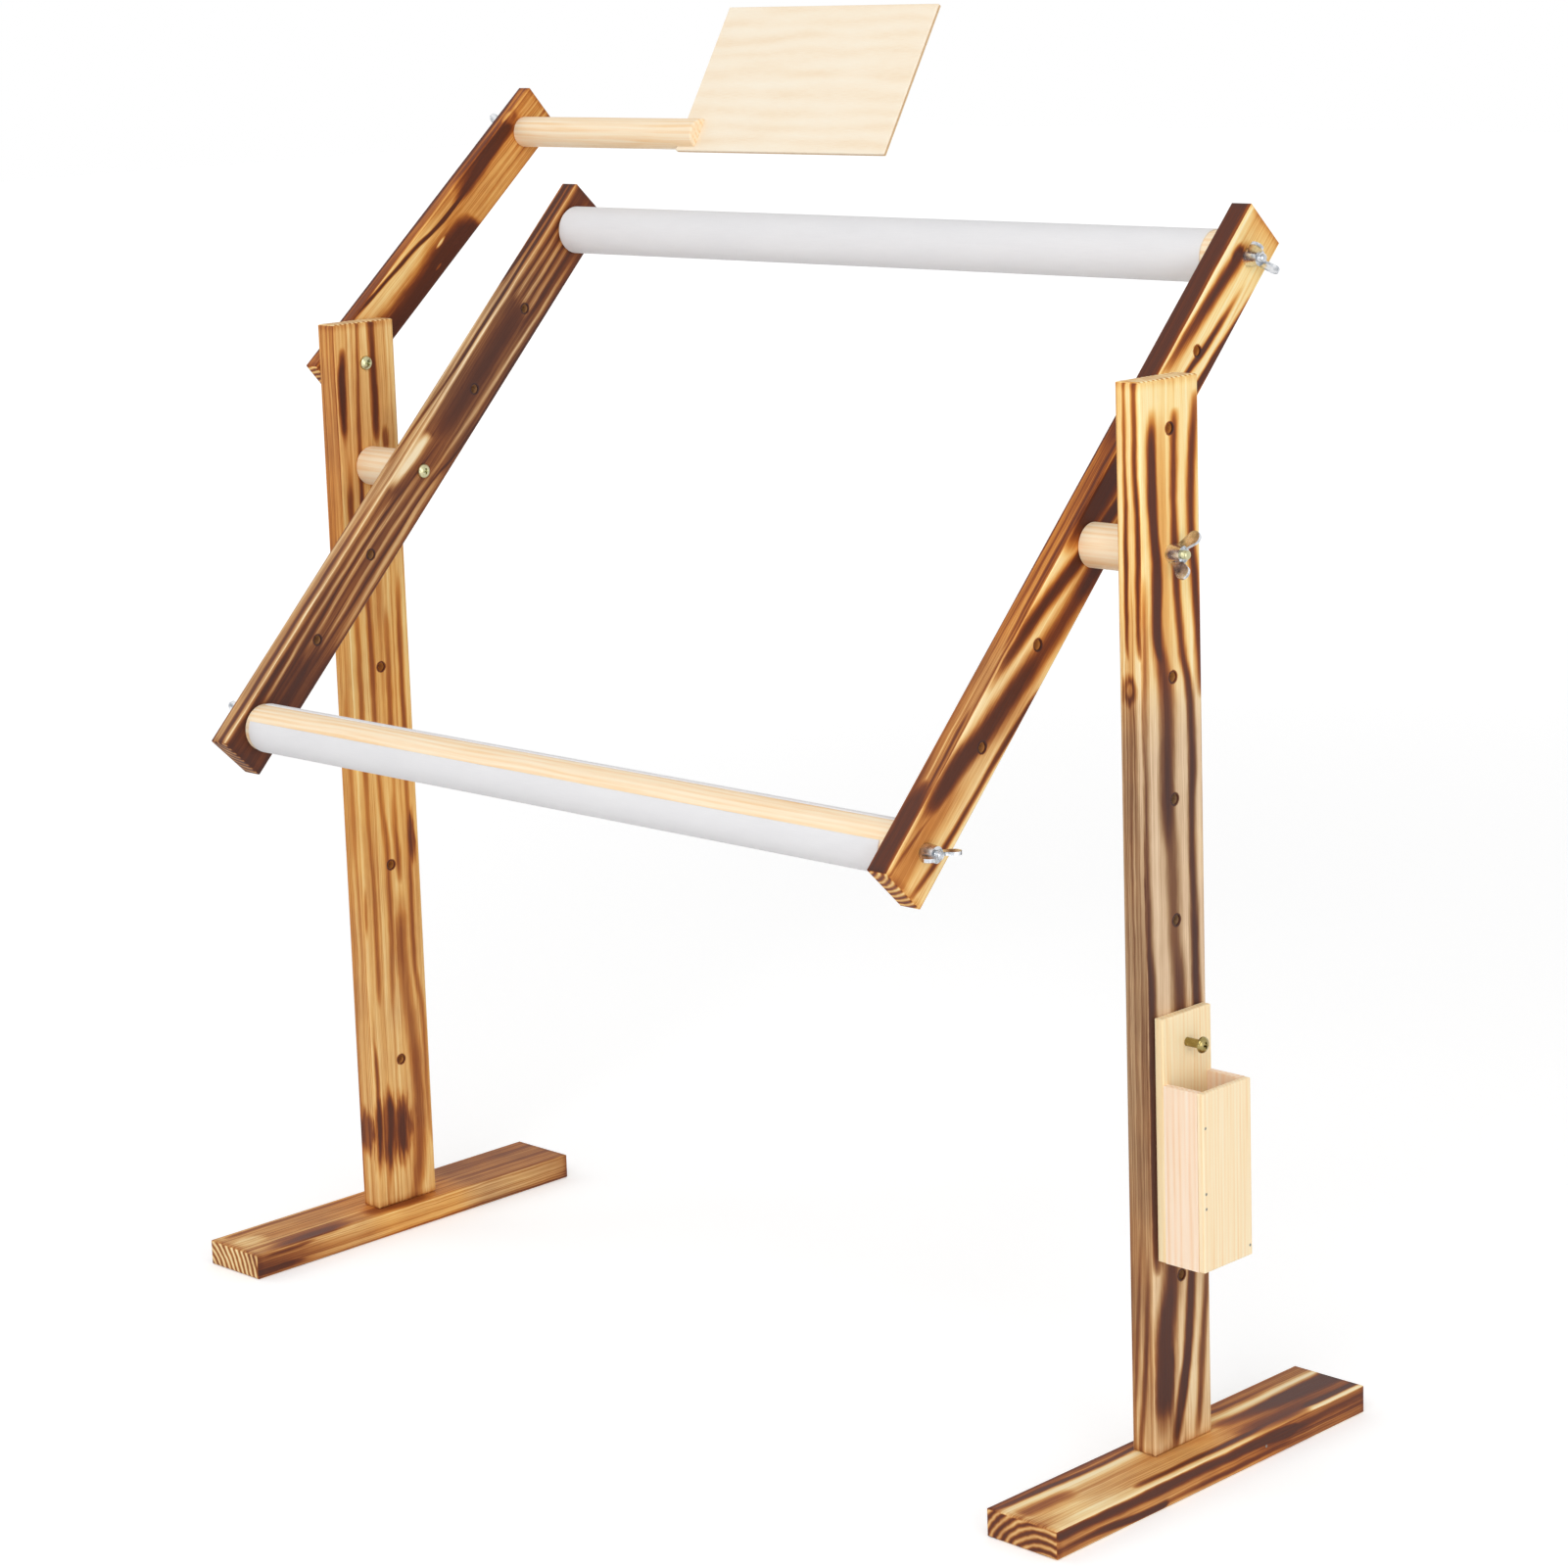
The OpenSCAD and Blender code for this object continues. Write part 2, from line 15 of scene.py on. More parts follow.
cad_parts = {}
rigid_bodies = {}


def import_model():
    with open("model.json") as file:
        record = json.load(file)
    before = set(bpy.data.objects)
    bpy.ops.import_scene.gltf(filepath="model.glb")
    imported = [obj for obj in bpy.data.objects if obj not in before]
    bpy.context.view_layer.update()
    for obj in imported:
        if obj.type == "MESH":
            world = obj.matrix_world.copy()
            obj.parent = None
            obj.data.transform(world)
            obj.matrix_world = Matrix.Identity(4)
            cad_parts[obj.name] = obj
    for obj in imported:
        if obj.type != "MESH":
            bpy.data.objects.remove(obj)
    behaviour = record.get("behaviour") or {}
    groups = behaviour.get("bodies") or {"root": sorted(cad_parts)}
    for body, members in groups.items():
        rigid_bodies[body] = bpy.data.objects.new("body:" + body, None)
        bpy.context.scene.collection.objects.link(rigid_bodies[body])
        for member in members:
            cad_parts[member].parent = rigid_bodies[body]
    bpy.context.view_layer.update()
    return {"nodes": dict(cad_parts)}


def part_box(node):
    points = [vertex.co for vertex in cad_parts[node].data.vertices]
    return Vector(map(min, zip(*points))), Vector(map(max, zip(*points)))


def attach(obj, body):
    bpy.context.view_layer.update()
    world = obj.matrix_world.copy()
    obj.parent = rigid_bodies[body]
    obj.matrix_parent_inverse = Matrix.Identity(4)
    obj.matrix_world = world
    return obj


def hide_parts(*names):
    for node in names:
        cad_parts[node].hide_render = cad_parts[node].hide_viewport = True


MM = 0.001
scene = bpy.context.scene

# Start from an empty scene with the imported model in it

for leftover in list(bpy.data.objects):
    bpy.data.objects.remove(leftover, do_unlink=True)
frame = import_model()
nodes = frame["nodes"]


def middle(node):
    """Middle of a node's box."""
    low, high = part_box(node)
    return (low + high) / 2


def extent(node):
    """Length of a node's box along each axis."""
    low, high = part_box(node)
    return high - low


# Slopes of the tilted parts, and sizes that their upright boxes don't give

FRAME_TILT = math.radians(46)
PATTERN_SLOPE = math.radians(41)
BOARD_SLOPE = math.radians(59)
UPRIGHT = math.radians(90)
ARM_LENGTH = 540 * MM
ARM_DEPTH = 43 * MM
PATTERN_ARM_LENGTH = 310 * MM
PATTERN_ARM_DEPTH = 42 * MM
LOWEST_HOLE_HEIGHT = 118 * MM

# Places and sizes that the frame gives

STAND_MIDDLE = Vector((
    (middle("left_post").x + middle("right_post").x) / 2,
    middle("left_post").y,
    0,
))
FOOT = extent("left_foot")
POST = extent("left_post")


# Shader tools

def srgb(code):
    """Linear colour of a code such as #f5e2c4."""
    channels = [int(code[i:i + 2], 16) / 255 for i in (1, 3, 5)]
    linear = [c / 12.92 if c <= 0.04045 else ((c + 0.055) / 1.055) ** 2.4 for c in channels]
    return (*linear, 1)


class Signal:
    """A number, colour or vector on its way between shader nodes, with plain arithmetic."""

    def __init__(self, graph, socket):
        self.graph = graph
        self.socket = socket

    def __add__(self, other):
        return self.graph.math("ADD", self, other)

    def __sub__(self, other):
        return self.graph.math("SUBTRACT", self, other)

    def __rsub__(self, other):
        return self.graph.math("SUBTRACT", other, self)

    def __mul__(self, other):
        return self.graph.math("MULTIPLY", self, other)

    def __truediv__(self, other):
        return self.graph.math("DIVIDE", self, other)

    __radd__ = __add__


class Graph:
    """The node tree of a material or a world, and short calls that add nodes to it."""

    def __init__(self, owner):
        owner.use_nodes = True
        self.owner = owner
        self.nodes = owner.node_tree.nodes
        self.links = owner.node_tree.links
        self.nodes.clear()

    def add(self, kind, **settings):
        """New shader node of a kind such as Math, with its settings."""
        node = self.nodes.new("ShaderNode" + kind)
        for key, value in settings.items():
            setattr(node, key, value)
        return node

    def feed(self, socket, value):
        """Links a signal to a socket, or sets the socket to a plain value."""
        if isinstance(value, Signal):
            self.links.new(value.socket, socket)
        else:
            socket.default_value = value

    def math(self, operation, *values):
        node = self.add("Math", operation=operation)
        for socket, value in zip(node.inputs, values):
            self.feed(socket, value)
        return Signal(self, node.outputs[0])

    def step(self, value, low, high):
        """Smooth step from 0 at low to 1 at high."""
        node = self.add("MapRange", interpolation_type="SMOOTHSTEP")
        for name, given in (("Value", value), ("From Min", low), ("From Max", high)):
            self.feed(node.inputs[name], given)
        return Signal(self, node.outputs[0])

    def bell(self, offset):
        """1 where the offset is 0, falling off smoothly to 0 on both sides."""
        return self.math("EXPONENT", offset * offset * -1)

    def mix(self, factor, first, second):
        node = self.add("Mix", data_type="RGBA")
        for index, given in ((0, factor), (6, first), (7, second)):
            self.feed(node.inputs[index], given)
        return Signal(self, node.outputs[2])

    def ramp(self, value, stops):
        """Colour that changes with value, through (place, colour code) stops."""
        node = self.add("ValToRGB")
        self.feed(node.inputs[0], value)
        elements = node.color_ramp.elements
        elements[0].position = stops[0][0]
        elements[1].position = stops[-1][0]
        for place, _ in stops[1:-1]:
            elements.new(place)
        for element, (_, code) in zip(elements, stops):
            element.color = srgb(code)
        return Signal(self, node.outputs[0])

    def curve(self, value, points):
        """Smooth curve through (place, height) points, level outside the first and last place."""
        start, end = points[0][0], points[-1][0]
        heights = [height for _, height in points]
        low, rise = min(heights), max(max(heights) - min(heights), 1e-6)
        node = self.add("FloatCurve")
        node.mapping.extend = "HORIZONTAL"
        line = node.mapping.curves[0]
        for place, height in points[1:-1]:
            line.points.new((place - start) / (end - start), (height - low) / rise)
        line.points[0].location = (0, (heights[0] - low) / rise)
        line.points[-1].location = (1, (heights[-1] - low) / rise)
        for point in line.points:
            point.handle_type = "AUTO_CLAMPED"
        node.mapping.update()
        self.feed(node.inputs["Value"], (value - start) / (end - start))
        return Signal(self, node.outputs[0]) * rise + low

    def place(self, centre=(0, 0, 0), turn=0.0):
        """Coordinates in mm from a centre, turned about X."""
        coordinates = self.add("TexCoord")
        mapping = self.add("Mapping", vector_type="TEXTURE")
        mapping.inputs["Location"].default_value = centre
        mapping.inputs["Rotation"].default_value = (turn, 0, 0)
        mapping.inputs["Scale"].default_value = (MM, MM, MM)
        self.links.new(coordinates.outputs["Object"], mapping.inputs["Vector"])
        node = self.add("SeparateXYZ")
        self.links.new(mapping.outputs[0], node.inputs[0])
        return [Signal(self, output) for output in node.outputs]

    def noise(self, x, y, z, detail=2.0, seed=0.0):
        """Noise from about -0.5 to 0.5 that changes over one unit of each coordinate."""
        vector = self.add("CombineXYZ")
        for socket, value in zip(vector.inputs, (x + seed, y + seed, z + seed)):
            self.feed(socket, value)
        node = self.add("TexNoise")
        self.links.new(vector.outputs[0], node.inputs["Vector"])
        node.inputs["Scale"].default_value = 1
        node.inputs["Detail"].default_value = detail
        return Signal(self, node.outputs[0]) - 0.5

    def finish(self, colour, roughness, height=None, relief=0.0, **others):
        """Puts the shader together and returns the material.

        Height makes bumps that are relief mm deep. The others are more of the shader's sockets.
        """
        shader = self.add("BsdfPrincipled")
        self.feed(shader.inputs["Base Color"], colour)
        self.feed(shader.inputs["Roughness"], roughness)
        for name, value in others.items():
            self.feed(shader.inputs[name.replace("_", " ")], value)
        if height is not None:
            bump = self.add("Bump")
            bump.inputs["Distance"].default_value = relief * MM
            self.feed(bump.inputs["Height"], height)
            self.links.new(bump.outputs[0], shader.inputs["Normal"])
        output = self.add("OutputMaterial")
        self.links.new(shader.outputs[0], output.inputs[0])
        return self.owner


def material_graph(name):
    """Empty node tree of a new material."""
    return Graph(bpy.data.materials.new(name))


# Scorched pine

WARM_CHAR = (
    (0.00, "#fff0c0"), (0.12, "#fcdc97"), (0.26, "#ecb465"), (0.40, "#cd8238"),
    (0.54, "#9f5520"), (0.68, "#733515"), (0.84, "#572814"), (1.00, "#40231a"),
)
DULL_CHAR = (
    (0.00, "#f2dabb"), (0.12, "#e0c2a0"), (0.26, "#c09e7a"), (0.40, "#9b7755"),
    (0.54, "#785036"), (0.68, "#5d3828"), (0.84, "#4c2d23"), (1.00, "#402a28"),
)
DEEPEST_BURN = 0.86
STREAK_SPREAD = 1.5
STREAK_RAGGEDNESS = 0.35
STREAK_JOIN = 0.12
OFF_EDGE = 0.05
HOLE_RADIUS = 3.5

# A board's look is laid out on the two faces that meet at the edge nearest the viewer. The place
# across is 0 on that edge, 1 at the far edge of the face that looks along X, and -1 at the far edge
# of the other face. The place along runs from 0 at the board's low or front end to 1. The hidden
# faces repeat the two, because the same rings run through the board.
#
# All numbers up to dull are hundredths. A streak is (half width, burn, places), and each of its places
# is (along, across, strength), where full strength is left out. Where its strength falls, a streak
# gets thinner and paler. A streak with a burn below 0 leaves bare wood; those that run at an across of
# about 0 are a painted highlight along the near edge. A patch is (along, across, length, width, burn).
# Bare is how dark the wood is between the streaks, on the face that looks along X and on the other one,
# as curves along the board, and dull is how grey it is. Lines is the strength of the fine lines on the
# two faces. Ends is where the pith lies in mm, how burnt the ends are, and the pitch of their rings in mm.
Grain = namedtuple("Grain", "streaks patches bare_side bare_face dull lines ends seed")


def shares(value):
    """Hundredths as plain shares, in lists of any depth."""
    if isinstance(value, (list, tuple)):
        return [shares(item) for item in value]
    return value / 100


def strength_at(place):
    """Strength of a streak at one of its places."""
    return place[2] if len(place) == 3 else 1


def add_streaks(g, burn, streaks, along, across, ragged, on_side):
    """Lays the burnt and the bare streaks over the burn; the bare ones along the near edge are painted
    highlight. Those of one face don't reach the other.
    """
    for width, char, places in streaks:
        centre = g.curve(along, [(place[0], place[1]) for place in places])
        strength = g.curve(along, [(place[0], strength_at(place)) for place in places])
        offset = (across - centre) / (width * STREAK_SPREAD) + ragged * STREAK_RAGGEDNESS
        streak = g.bell(offset) * strength
        sides = [place[1] for place in places]
        if min(sides) > OFF_EDGE:
            streak = streak * on_side
        if max(sides) < -OFF_EDGE:
            streak = streak * (1 - on_side)
        if char > 0:
            burn = g.math("SMOOTH_MAX", burn, streak * char, STREAK_JOIN)
        else:
            burn = burn * g.math("MAXIMUM", 1 + streak * char, 0)
    return burn


def add_patches(g, burn, patches, along, across, ragged):
    """Darker or paler patches with ragged outlines: burns, bare spots, and painted shadow where a table
    gives one.
    """
    for spot_along, spot_across, length, width, char in patches:
        dx = (along - spot_along) / length
        dy = (across - spot_across) / width
        reach = g.math("SQRT", dx * dx + dy * dy) + ragged * 1.1
        burn = burn + g.step(reach, 1.3, 0.45) * char
    return burn


def add_holes(g, burn, holes, y, z, to_side_face, fibre):
    """Burnt rims round the holes, and plain brown wood inside them."""
    nearest = g.math("ABSOLUTE", y - holes[0] / MM)
    for hole in holes[1:]:
        nearest = g.math("MINIMUM", nearest, g.math("ABSOLUTE", y - hole / MM))
    around = g.math("SQRT", nearest * nearest + z * z)
    rim = g.step(around + fibre * 1.5, HOLE_RADIUS + 1.5, HOLE_RADIUS + 0.4)
    rim = rim * g.step(to_side_face, 1.6, 0.6)
    inside = g.step(around, HOLE_RADIUS + 0.2, HOLE_RADIUS)
    return burn + rim * 0.5 + (0.36 - burn) * inside * (1 - rim * 0.6)


def add_ends(g, burn, ends, x, z, to_end, cloud):
    """Growth rings on the two ends, which are a little darker than the faces beside them."""
    pith_x, pith_z, end_burn, ring_pitch = ends
    ring_x = x - pith_x
    ring_z = z - pith_z
    radius = g.math("SQRT", ring_x * ring_x + ring_z * ring_z) + g.noise(x / 9, 0, z / 9, 2, 3) * 2.6
    rings = g.math("SINE", radius * (2 * math.pi / ring_pitch)) * 0.5 + 0.5
    end_wood = end_burn + rings * 0.5 + cloud * 0.5 - 0.2
    at_end = g.step(to_end, 0.9, 0.3)
    burn = burn + (end_wood - burn) * at_end
    return burn + g.step(to_end, 7, 0) * (1 - at_end) * 0.1


def scorched_pine(node, turn, length, depth, holes, grain):
    """Burnt and brushed pine for one board whose length slopes up from Y by the given turn."""
    g = material_graph(node + "_wood")
    x, y, z = g.place(middle(node), turn)
    streaks, patches, bare_side, bare_face, dull = (shares(field) for field in grain[:5])
    seed = grain.seed
    face = extent(node).x / MM
    side = depth / MM
    half_length = length / MM / 2
    along = y / (half_length * 2) + 0.5
    to_side_face = face / 2 - g.math("ABSOLUTE", x)
    to_other_face = side / 2 - g.math("ABSOLUTE", z)
    to_end = half_length - g.math("ABSOLUTE", y)
    on_side = g.math("GREATER_THAN", to_other_face, to_side_face)

    wave = g.noise(x / 24, y / 90, z / 24, 2, seed) * 3.4
    ripple = g.noise(x / 5, y / 26, z / 5, 2, seed + 7) * 1.5
    from_edge = (x - face / 2) * (1 - on_side) + (side / 2 - z) * on_side + wave + ripple
    across = from_edge / (on_side * (side - face) + face)

    fibre = g.noise(x / 0.55, y / 18, z / 0.55, 2, seed)
    hair = g.noise(from_edge / 0.9, y / 240, on_side * 9, 2, seed + 5)
    band = g.noise(from_edge / 4.2, y / 300, on_side * 9, 1, seed + 3)
    cloud = g.noise(x / 22, y / 46, z / 22, 3, seed + 11)
    ragged = g.noise(from_edge / 3, y / 22, on_side * 9, 3, seed + 13)

    face_lines, side_lines = grain.lines
    lines = (hair * 0.8 + band * 0.9) * (on_side * (side_lines - face_lines) + face_lines)
    bare = g.curve(along, bare_face) * (1 - on_side) + g.curve(along, bare_side) * on_side
    burn = bare + lines + cloud * 0.16
    burn = add_streaks(g, burn, streaks, along, across, ragged, on_side)
    burn = add_patches(g, burn, patches, along, across, ragged)
    burn = g.math("MINIMUM", burn, DEEPEST_BURN) + hair * 0.24 + band * 0.14 + fibre * 0.1
    # Every long edge is paler: wear of the char, and a painted highlight where the rounded edges catch the
    # light.
    near_edge = g.math("MAXIMUM", to_side_face, to_other_face)
    edge_wear_and_highlight = g.step(near_edge + ragged * 1.2, 1.5, 0.5) * 0.3
    burn = burn * (1 - edge_wear_and_highlight)
    if holes:
        burn = add_holes(g, burn, holes, y, z, to_side_face, fibre)
    burn = add_ends(g, burn, grain.ends, x, z, to_end, cloud)

    greyness = g.curve(along, dull) + cloud * 0.5
    colour = g.mix(greyness, g.ramp(burn, WARM_CHAR), g.ramp(burn, DULL_CHAR))
    roughness = 0.62 - g.step(burn, 0.3, 1.0) * 0.12
    height = burn * -0.4 + fibre * 0.5 + hair * 0.4
    return g.finish(colour, roughness, height, relief=0.3, Specular_IOR_Level=0.22)


RIGHT_POST_GRAIN = Grain(
    streaks=[
        (11, 66, [(0, -66, 80), (7, -42), (15, -24, 90), (23, -16, 0)]),
        (10, 60, [(3, -88, 70), (11, -70), (20, -50, 80), (28, -40, 0)]),
        (12, 52, [(5, -97, 0), (12, -90), (35, -95, 70), (60, -97, 50), (70, -100, 0)]),
        (10, 42, [(30, -50, 0), (40, -55), (55, -60, 90), (68, -55, 0)]),
        (7.5, 72, [(74, -50, 0), (78, -65), (84, -63, 110), (90, -60, 90), (99, -62, 60)]),
        (9, 72, [(74.5, 0, 0), (77.5, -16), (86, -14, 110), (92, -20), (99, -22, 80)]),
        (5, 45, [(74, -95, 0), (80, -97), (90, -93, 70), (97, -90, 40)]),
        (6, 82, [(17, 13, 0), (20, 7, 90), (30, 6, 110), (42, 6, 110), (50, 1), (60, -1, 90), (70, 0, 70),
         (78, 2, 60), (84, 0, 0)]),
        (12, 100, [(0, 12, 10), (3, 14, 50), (8, 18, 110), (12, 22, 105), (16, 31, 80), (22, 40, 50),
         (26, 44, 0)]),
        (9.5, 72, [(20, 40, 0), (30, 50, 80), (42, 54), (50, 46, 80), (56, 44, 80), (62, 38, 120),
         (69, 40, 105), (74, 34), (78, 26, 70), (80, 25, 0)]),
        (6.2, 100, [(69, 38, 0), (74, 33, 70), (78, 25, 110), (82, 26, 110), (86, 22), (90, 20, 110),
         (94, 20, 90), (96.5, 21, 40), (98, 22, 0)]),
        (5.5, 92, [(0, 36, 40), (3, 43, 110), (6.7, 53, 130), (10, 61, 120), (16, 67), (25, 76, 80),
         (36, 84), (48, 81), (53, 80, 0)]),
        (5, 80, [(45, 82, 0), (50, 81), (60, 78), (65, 81, 110), (69, 80), (75, 67, 95), (78.5, 62, 90),
         (82, 58), (87, 56, 90), (95, 58, 80), (97.5, 60, 0)]),
        (5, 62, [(0, 72, 40), (4, 79), (10, 86), (15, 93, 90), (25, 100, 0)]),
        (5.5, 78, [(70, 100, 0), (73, 97, 90), (77, 94), (82, 88, 110), (87, 84), (92, 86), (97, 92, 70),
         (99, 95, 0)]),
        (10, 30, [(71, 48, 0), (76, 42), (84, 38), (93, 36, 90), (98, 40, 30)]),
    ],
    patches=[(72.2, -57, 1.4, 32, 36), (72.2, -57, 0.7, 15, -26), (21, 17, 3, 4, 30), (5, 30, 5, 7, 20)],
    bare_side=[(0, 20), (10, 10), (20, 12), (50, 14), (68, 12), (75, 4), (100, 8)],
    bare_face=[(0, 26), (20, 40), (55, 38), (70, 32), (76, 16), (100, 14)],
    dull=[(0, 60), (18, 80), (40, 100), (62, 100), (74, 30), (80, 0)],
    lines=(0.6, 0.2), ends=(4, -70, 0.12, 4.6), seed=3.0,
)
LEFT_POST_GRAIN = Grain(
    streaks=[
        (11, 50, [(0, -90, 80), (10, -90), (20, -94, 80), (35, -98, 50), (50, -96, 70), (65, -98, 40),
         (80, -98, 90), (100, -96, 60)]),
        (20, 42, [(36, -45, 0), (45, -40), (56, -45), (62, -45, 0)]),
        (3, 60, [(2, 3, 0), (6, 6, 80), (10, 8), (16, 8), (20, 6, 60), (30, 3, 35), (34, 3, 80),
         (38, 4, 30), (42, 2, 0)]),
        (4.5, 56, [(0, 18, 30), (3, 20, 70), (7, 24, 110), (10, 27, 120), (13, 25, 90), (16, 24, 20),
         (20, 24, 0)]),
        (5.5, 44, [(2, 50, 0), (5, 47, 70), (8, 46, 120), (10, 47), (12, 47, 0)]),
        (11, 56, [(0, 62, 80), (5, 74), (10, 78), (15, 76), (20, 70, 90), (25, 64, 90), (30, 60),
         (34, 62, 70), (40, 63, 0)]),
        (5, 54, [(5, 100, 40), (10, 93, 80), (20, 91, 90), (25, 85, 90), (30, 80), (48, 83, 90),
         (55, 83, 110), (66, 84), (74, 85, 0)]),
        (5, 50, [(22, 20, 0), (27, 19), (36, 19), (45, 15, 90), (55, 14, 110), (66, 14), (72, 14, 0)]),
        (5.5, 52, [(20, 40, 0), (26, 42, 90), (36, 46), (48, 38, 90), (55, 36), (66, 35, 110), (78, 33, 90),
         (100, 37, 60)]),
        (3.5, 78, [(76, 34, 0), (79, 33, 110), (83, 33, 90), (90, 34, 80), (100, 38, 60)]),
        (5.5, 55, [(36, 64, 0), (40, 62), (45, 60, 80), (49, 62, 70), (55, 62), (66, 63, 80), (74, 62, 0),
         (86, 62, 50), (90, 62, 150), (100, 62, 120)]),
        (5, 92, [(76, 12, 0), (80, 13, 70), (83, 14, 50), (86, 12, 40), (89, 10, 90), (93, 10, 110),
         (96, 12, 80), (98, 13, 0)]),
        (3, 34, [(10, 86, 0), (20, 80, 60), (55, 72), (66, 73, 80), (90, 80, 80), (100, 82, 0)]),
    ],
    patches=[(8.8, -50, 2.8, 50, 34), (8.8, 26, 4, 40, 30), (8.5, 50, 4.5, 16, 16), (42, 87, 3, 6, 34),
             (87, 77, 1.4, 6, 25)],
    bare_side=[(0, 26), (60, 25), (85, 28), (100, 24)],
    bare_face=[(0, 26), (30, 32), (60, 34), (80, 42), (100, 40)],
    dull=[(0, 15), (20, 25), (50, 5), (78, 10), (90, 20), (100, 15)],
    lines=(0.34, 0.3), ends=(-3, -80, 0.2, 4.6), seed=17.0,
)
RIGHT_ARM_GRAIN = Grain(
    streaks=[
        (42, 98, [(0, -52), (8, -50), (12, -46, 70), (13.5, -40, 0)]),
        (9, 80, [(10, -24, 90), (20, -25, 90), (27, -28, 20), (34, -25, 80), (60, -22)]),
        (8, 76, [(13, -97, 70), (30, -96), (45, -93), (62, -90, 120)]),
        (7, 66, [(10, -60, 0), (14, -62, 80), (30, -58, 60), (45, -60), (60, -60)]),
        (42, 90, [(57, -55, 0), (61, -55, 60), (66, -55, 90), (74, -58, 110), (90, -55, 115),
         (100, -55, 110)]),
        (15, 100, [(3, 10, 10), (8, 15, 35), (12, 19, 90), (16.7, 25, 105), (21.3, 40), (26.7, 50, 95),
         (31.7, 59, 85), (36.7, 69, 70), (41.7, 75, 70), (46.7, 81, 90), (52, 88, 90), (60, 100, 80),
         (66, 110, 0)]),
        (3.5, 50, [(0, 8, 80), (5, 15), (10, 27), (16.7, 43, 80), (20, 55, 0)]),
        (10, 80, [(24, -2, 0), (28, 4, 50), (33.3, 12), (38.3, 19, 110), (43.3, 31, 110), (46.7, 39, 130),
         (55, 55, 130), (65, 75), (72, 90, 60), (78, 100, 0)]),
        (20, 98, [(45, -5, 0), (50, 6, 80), (54, 15, 110), (59, 20), (64, 26, 70), (70, 35, 0)]),
        (5, 72, [(0, 68, 50), (3.3, 76, 90), (8.3, 82), (16.7, 85, 90), (25, 90, 110), (29, 95),
         (32, 100, 0)]),
        (10, 80, [(72, 8, 0), (78, 12, 80), (81.7, 17, 90), (85, 21, 105), (88.3, 25, 110), (92, 31, 110),
         (95, 36, 50), (97, 40, 0)]),
        (3, 55, [(72, 3, 0), (76, 6), (83, 10), (90, 17, 80), (93, 20, 0)]),
        (4.5, 88, [(70, 42, 0), (76, 52, 90), (80, 60, 120), (83, 64), (86, 67, 70), (93, 76, 0)]),
        (5, 95, [(68, 85, 0), (74, 90, 80), (76, 87, 120), (80, 90, 120), (84, 94), (90, 100, 60),
         (94, 105, 0)]),
        (20, 42, [(0, 30), (10, 38), (20, 55, 60), (25, 64, 90), (33, 80, 40), (40, 95, 0)]),
        # Painted highlight along the near edge of the upper end, laid as a bare streak.
        (3, -90, [(72, 0, 0), (76, 0), (85, 3), (97, 6)]),
    ],
    # The patch at 93.5 along is painted shadow round the wing nut at the arm's top end.
    patches=[(5, 12, 5, 10, 12), (93.5, 25, 1.4, 12, 30)],
    bare_side=[(0, 20), (10, 12), (30, 7), (60, 10), (85, 8), (96, 18), (100, 30)],
    bare_face=[(0, 52), (15, 48), (40, 46), (60, 50), (80, 56), (100, 56)],
    dull=[(0, 10), (10, 25), (25, 35), (35, 10), (50, 0), (100, 0)],
    lines=(0.6, 0.22), ends=(-14, 30, 0.35, 5.0), seed=29.0,
)
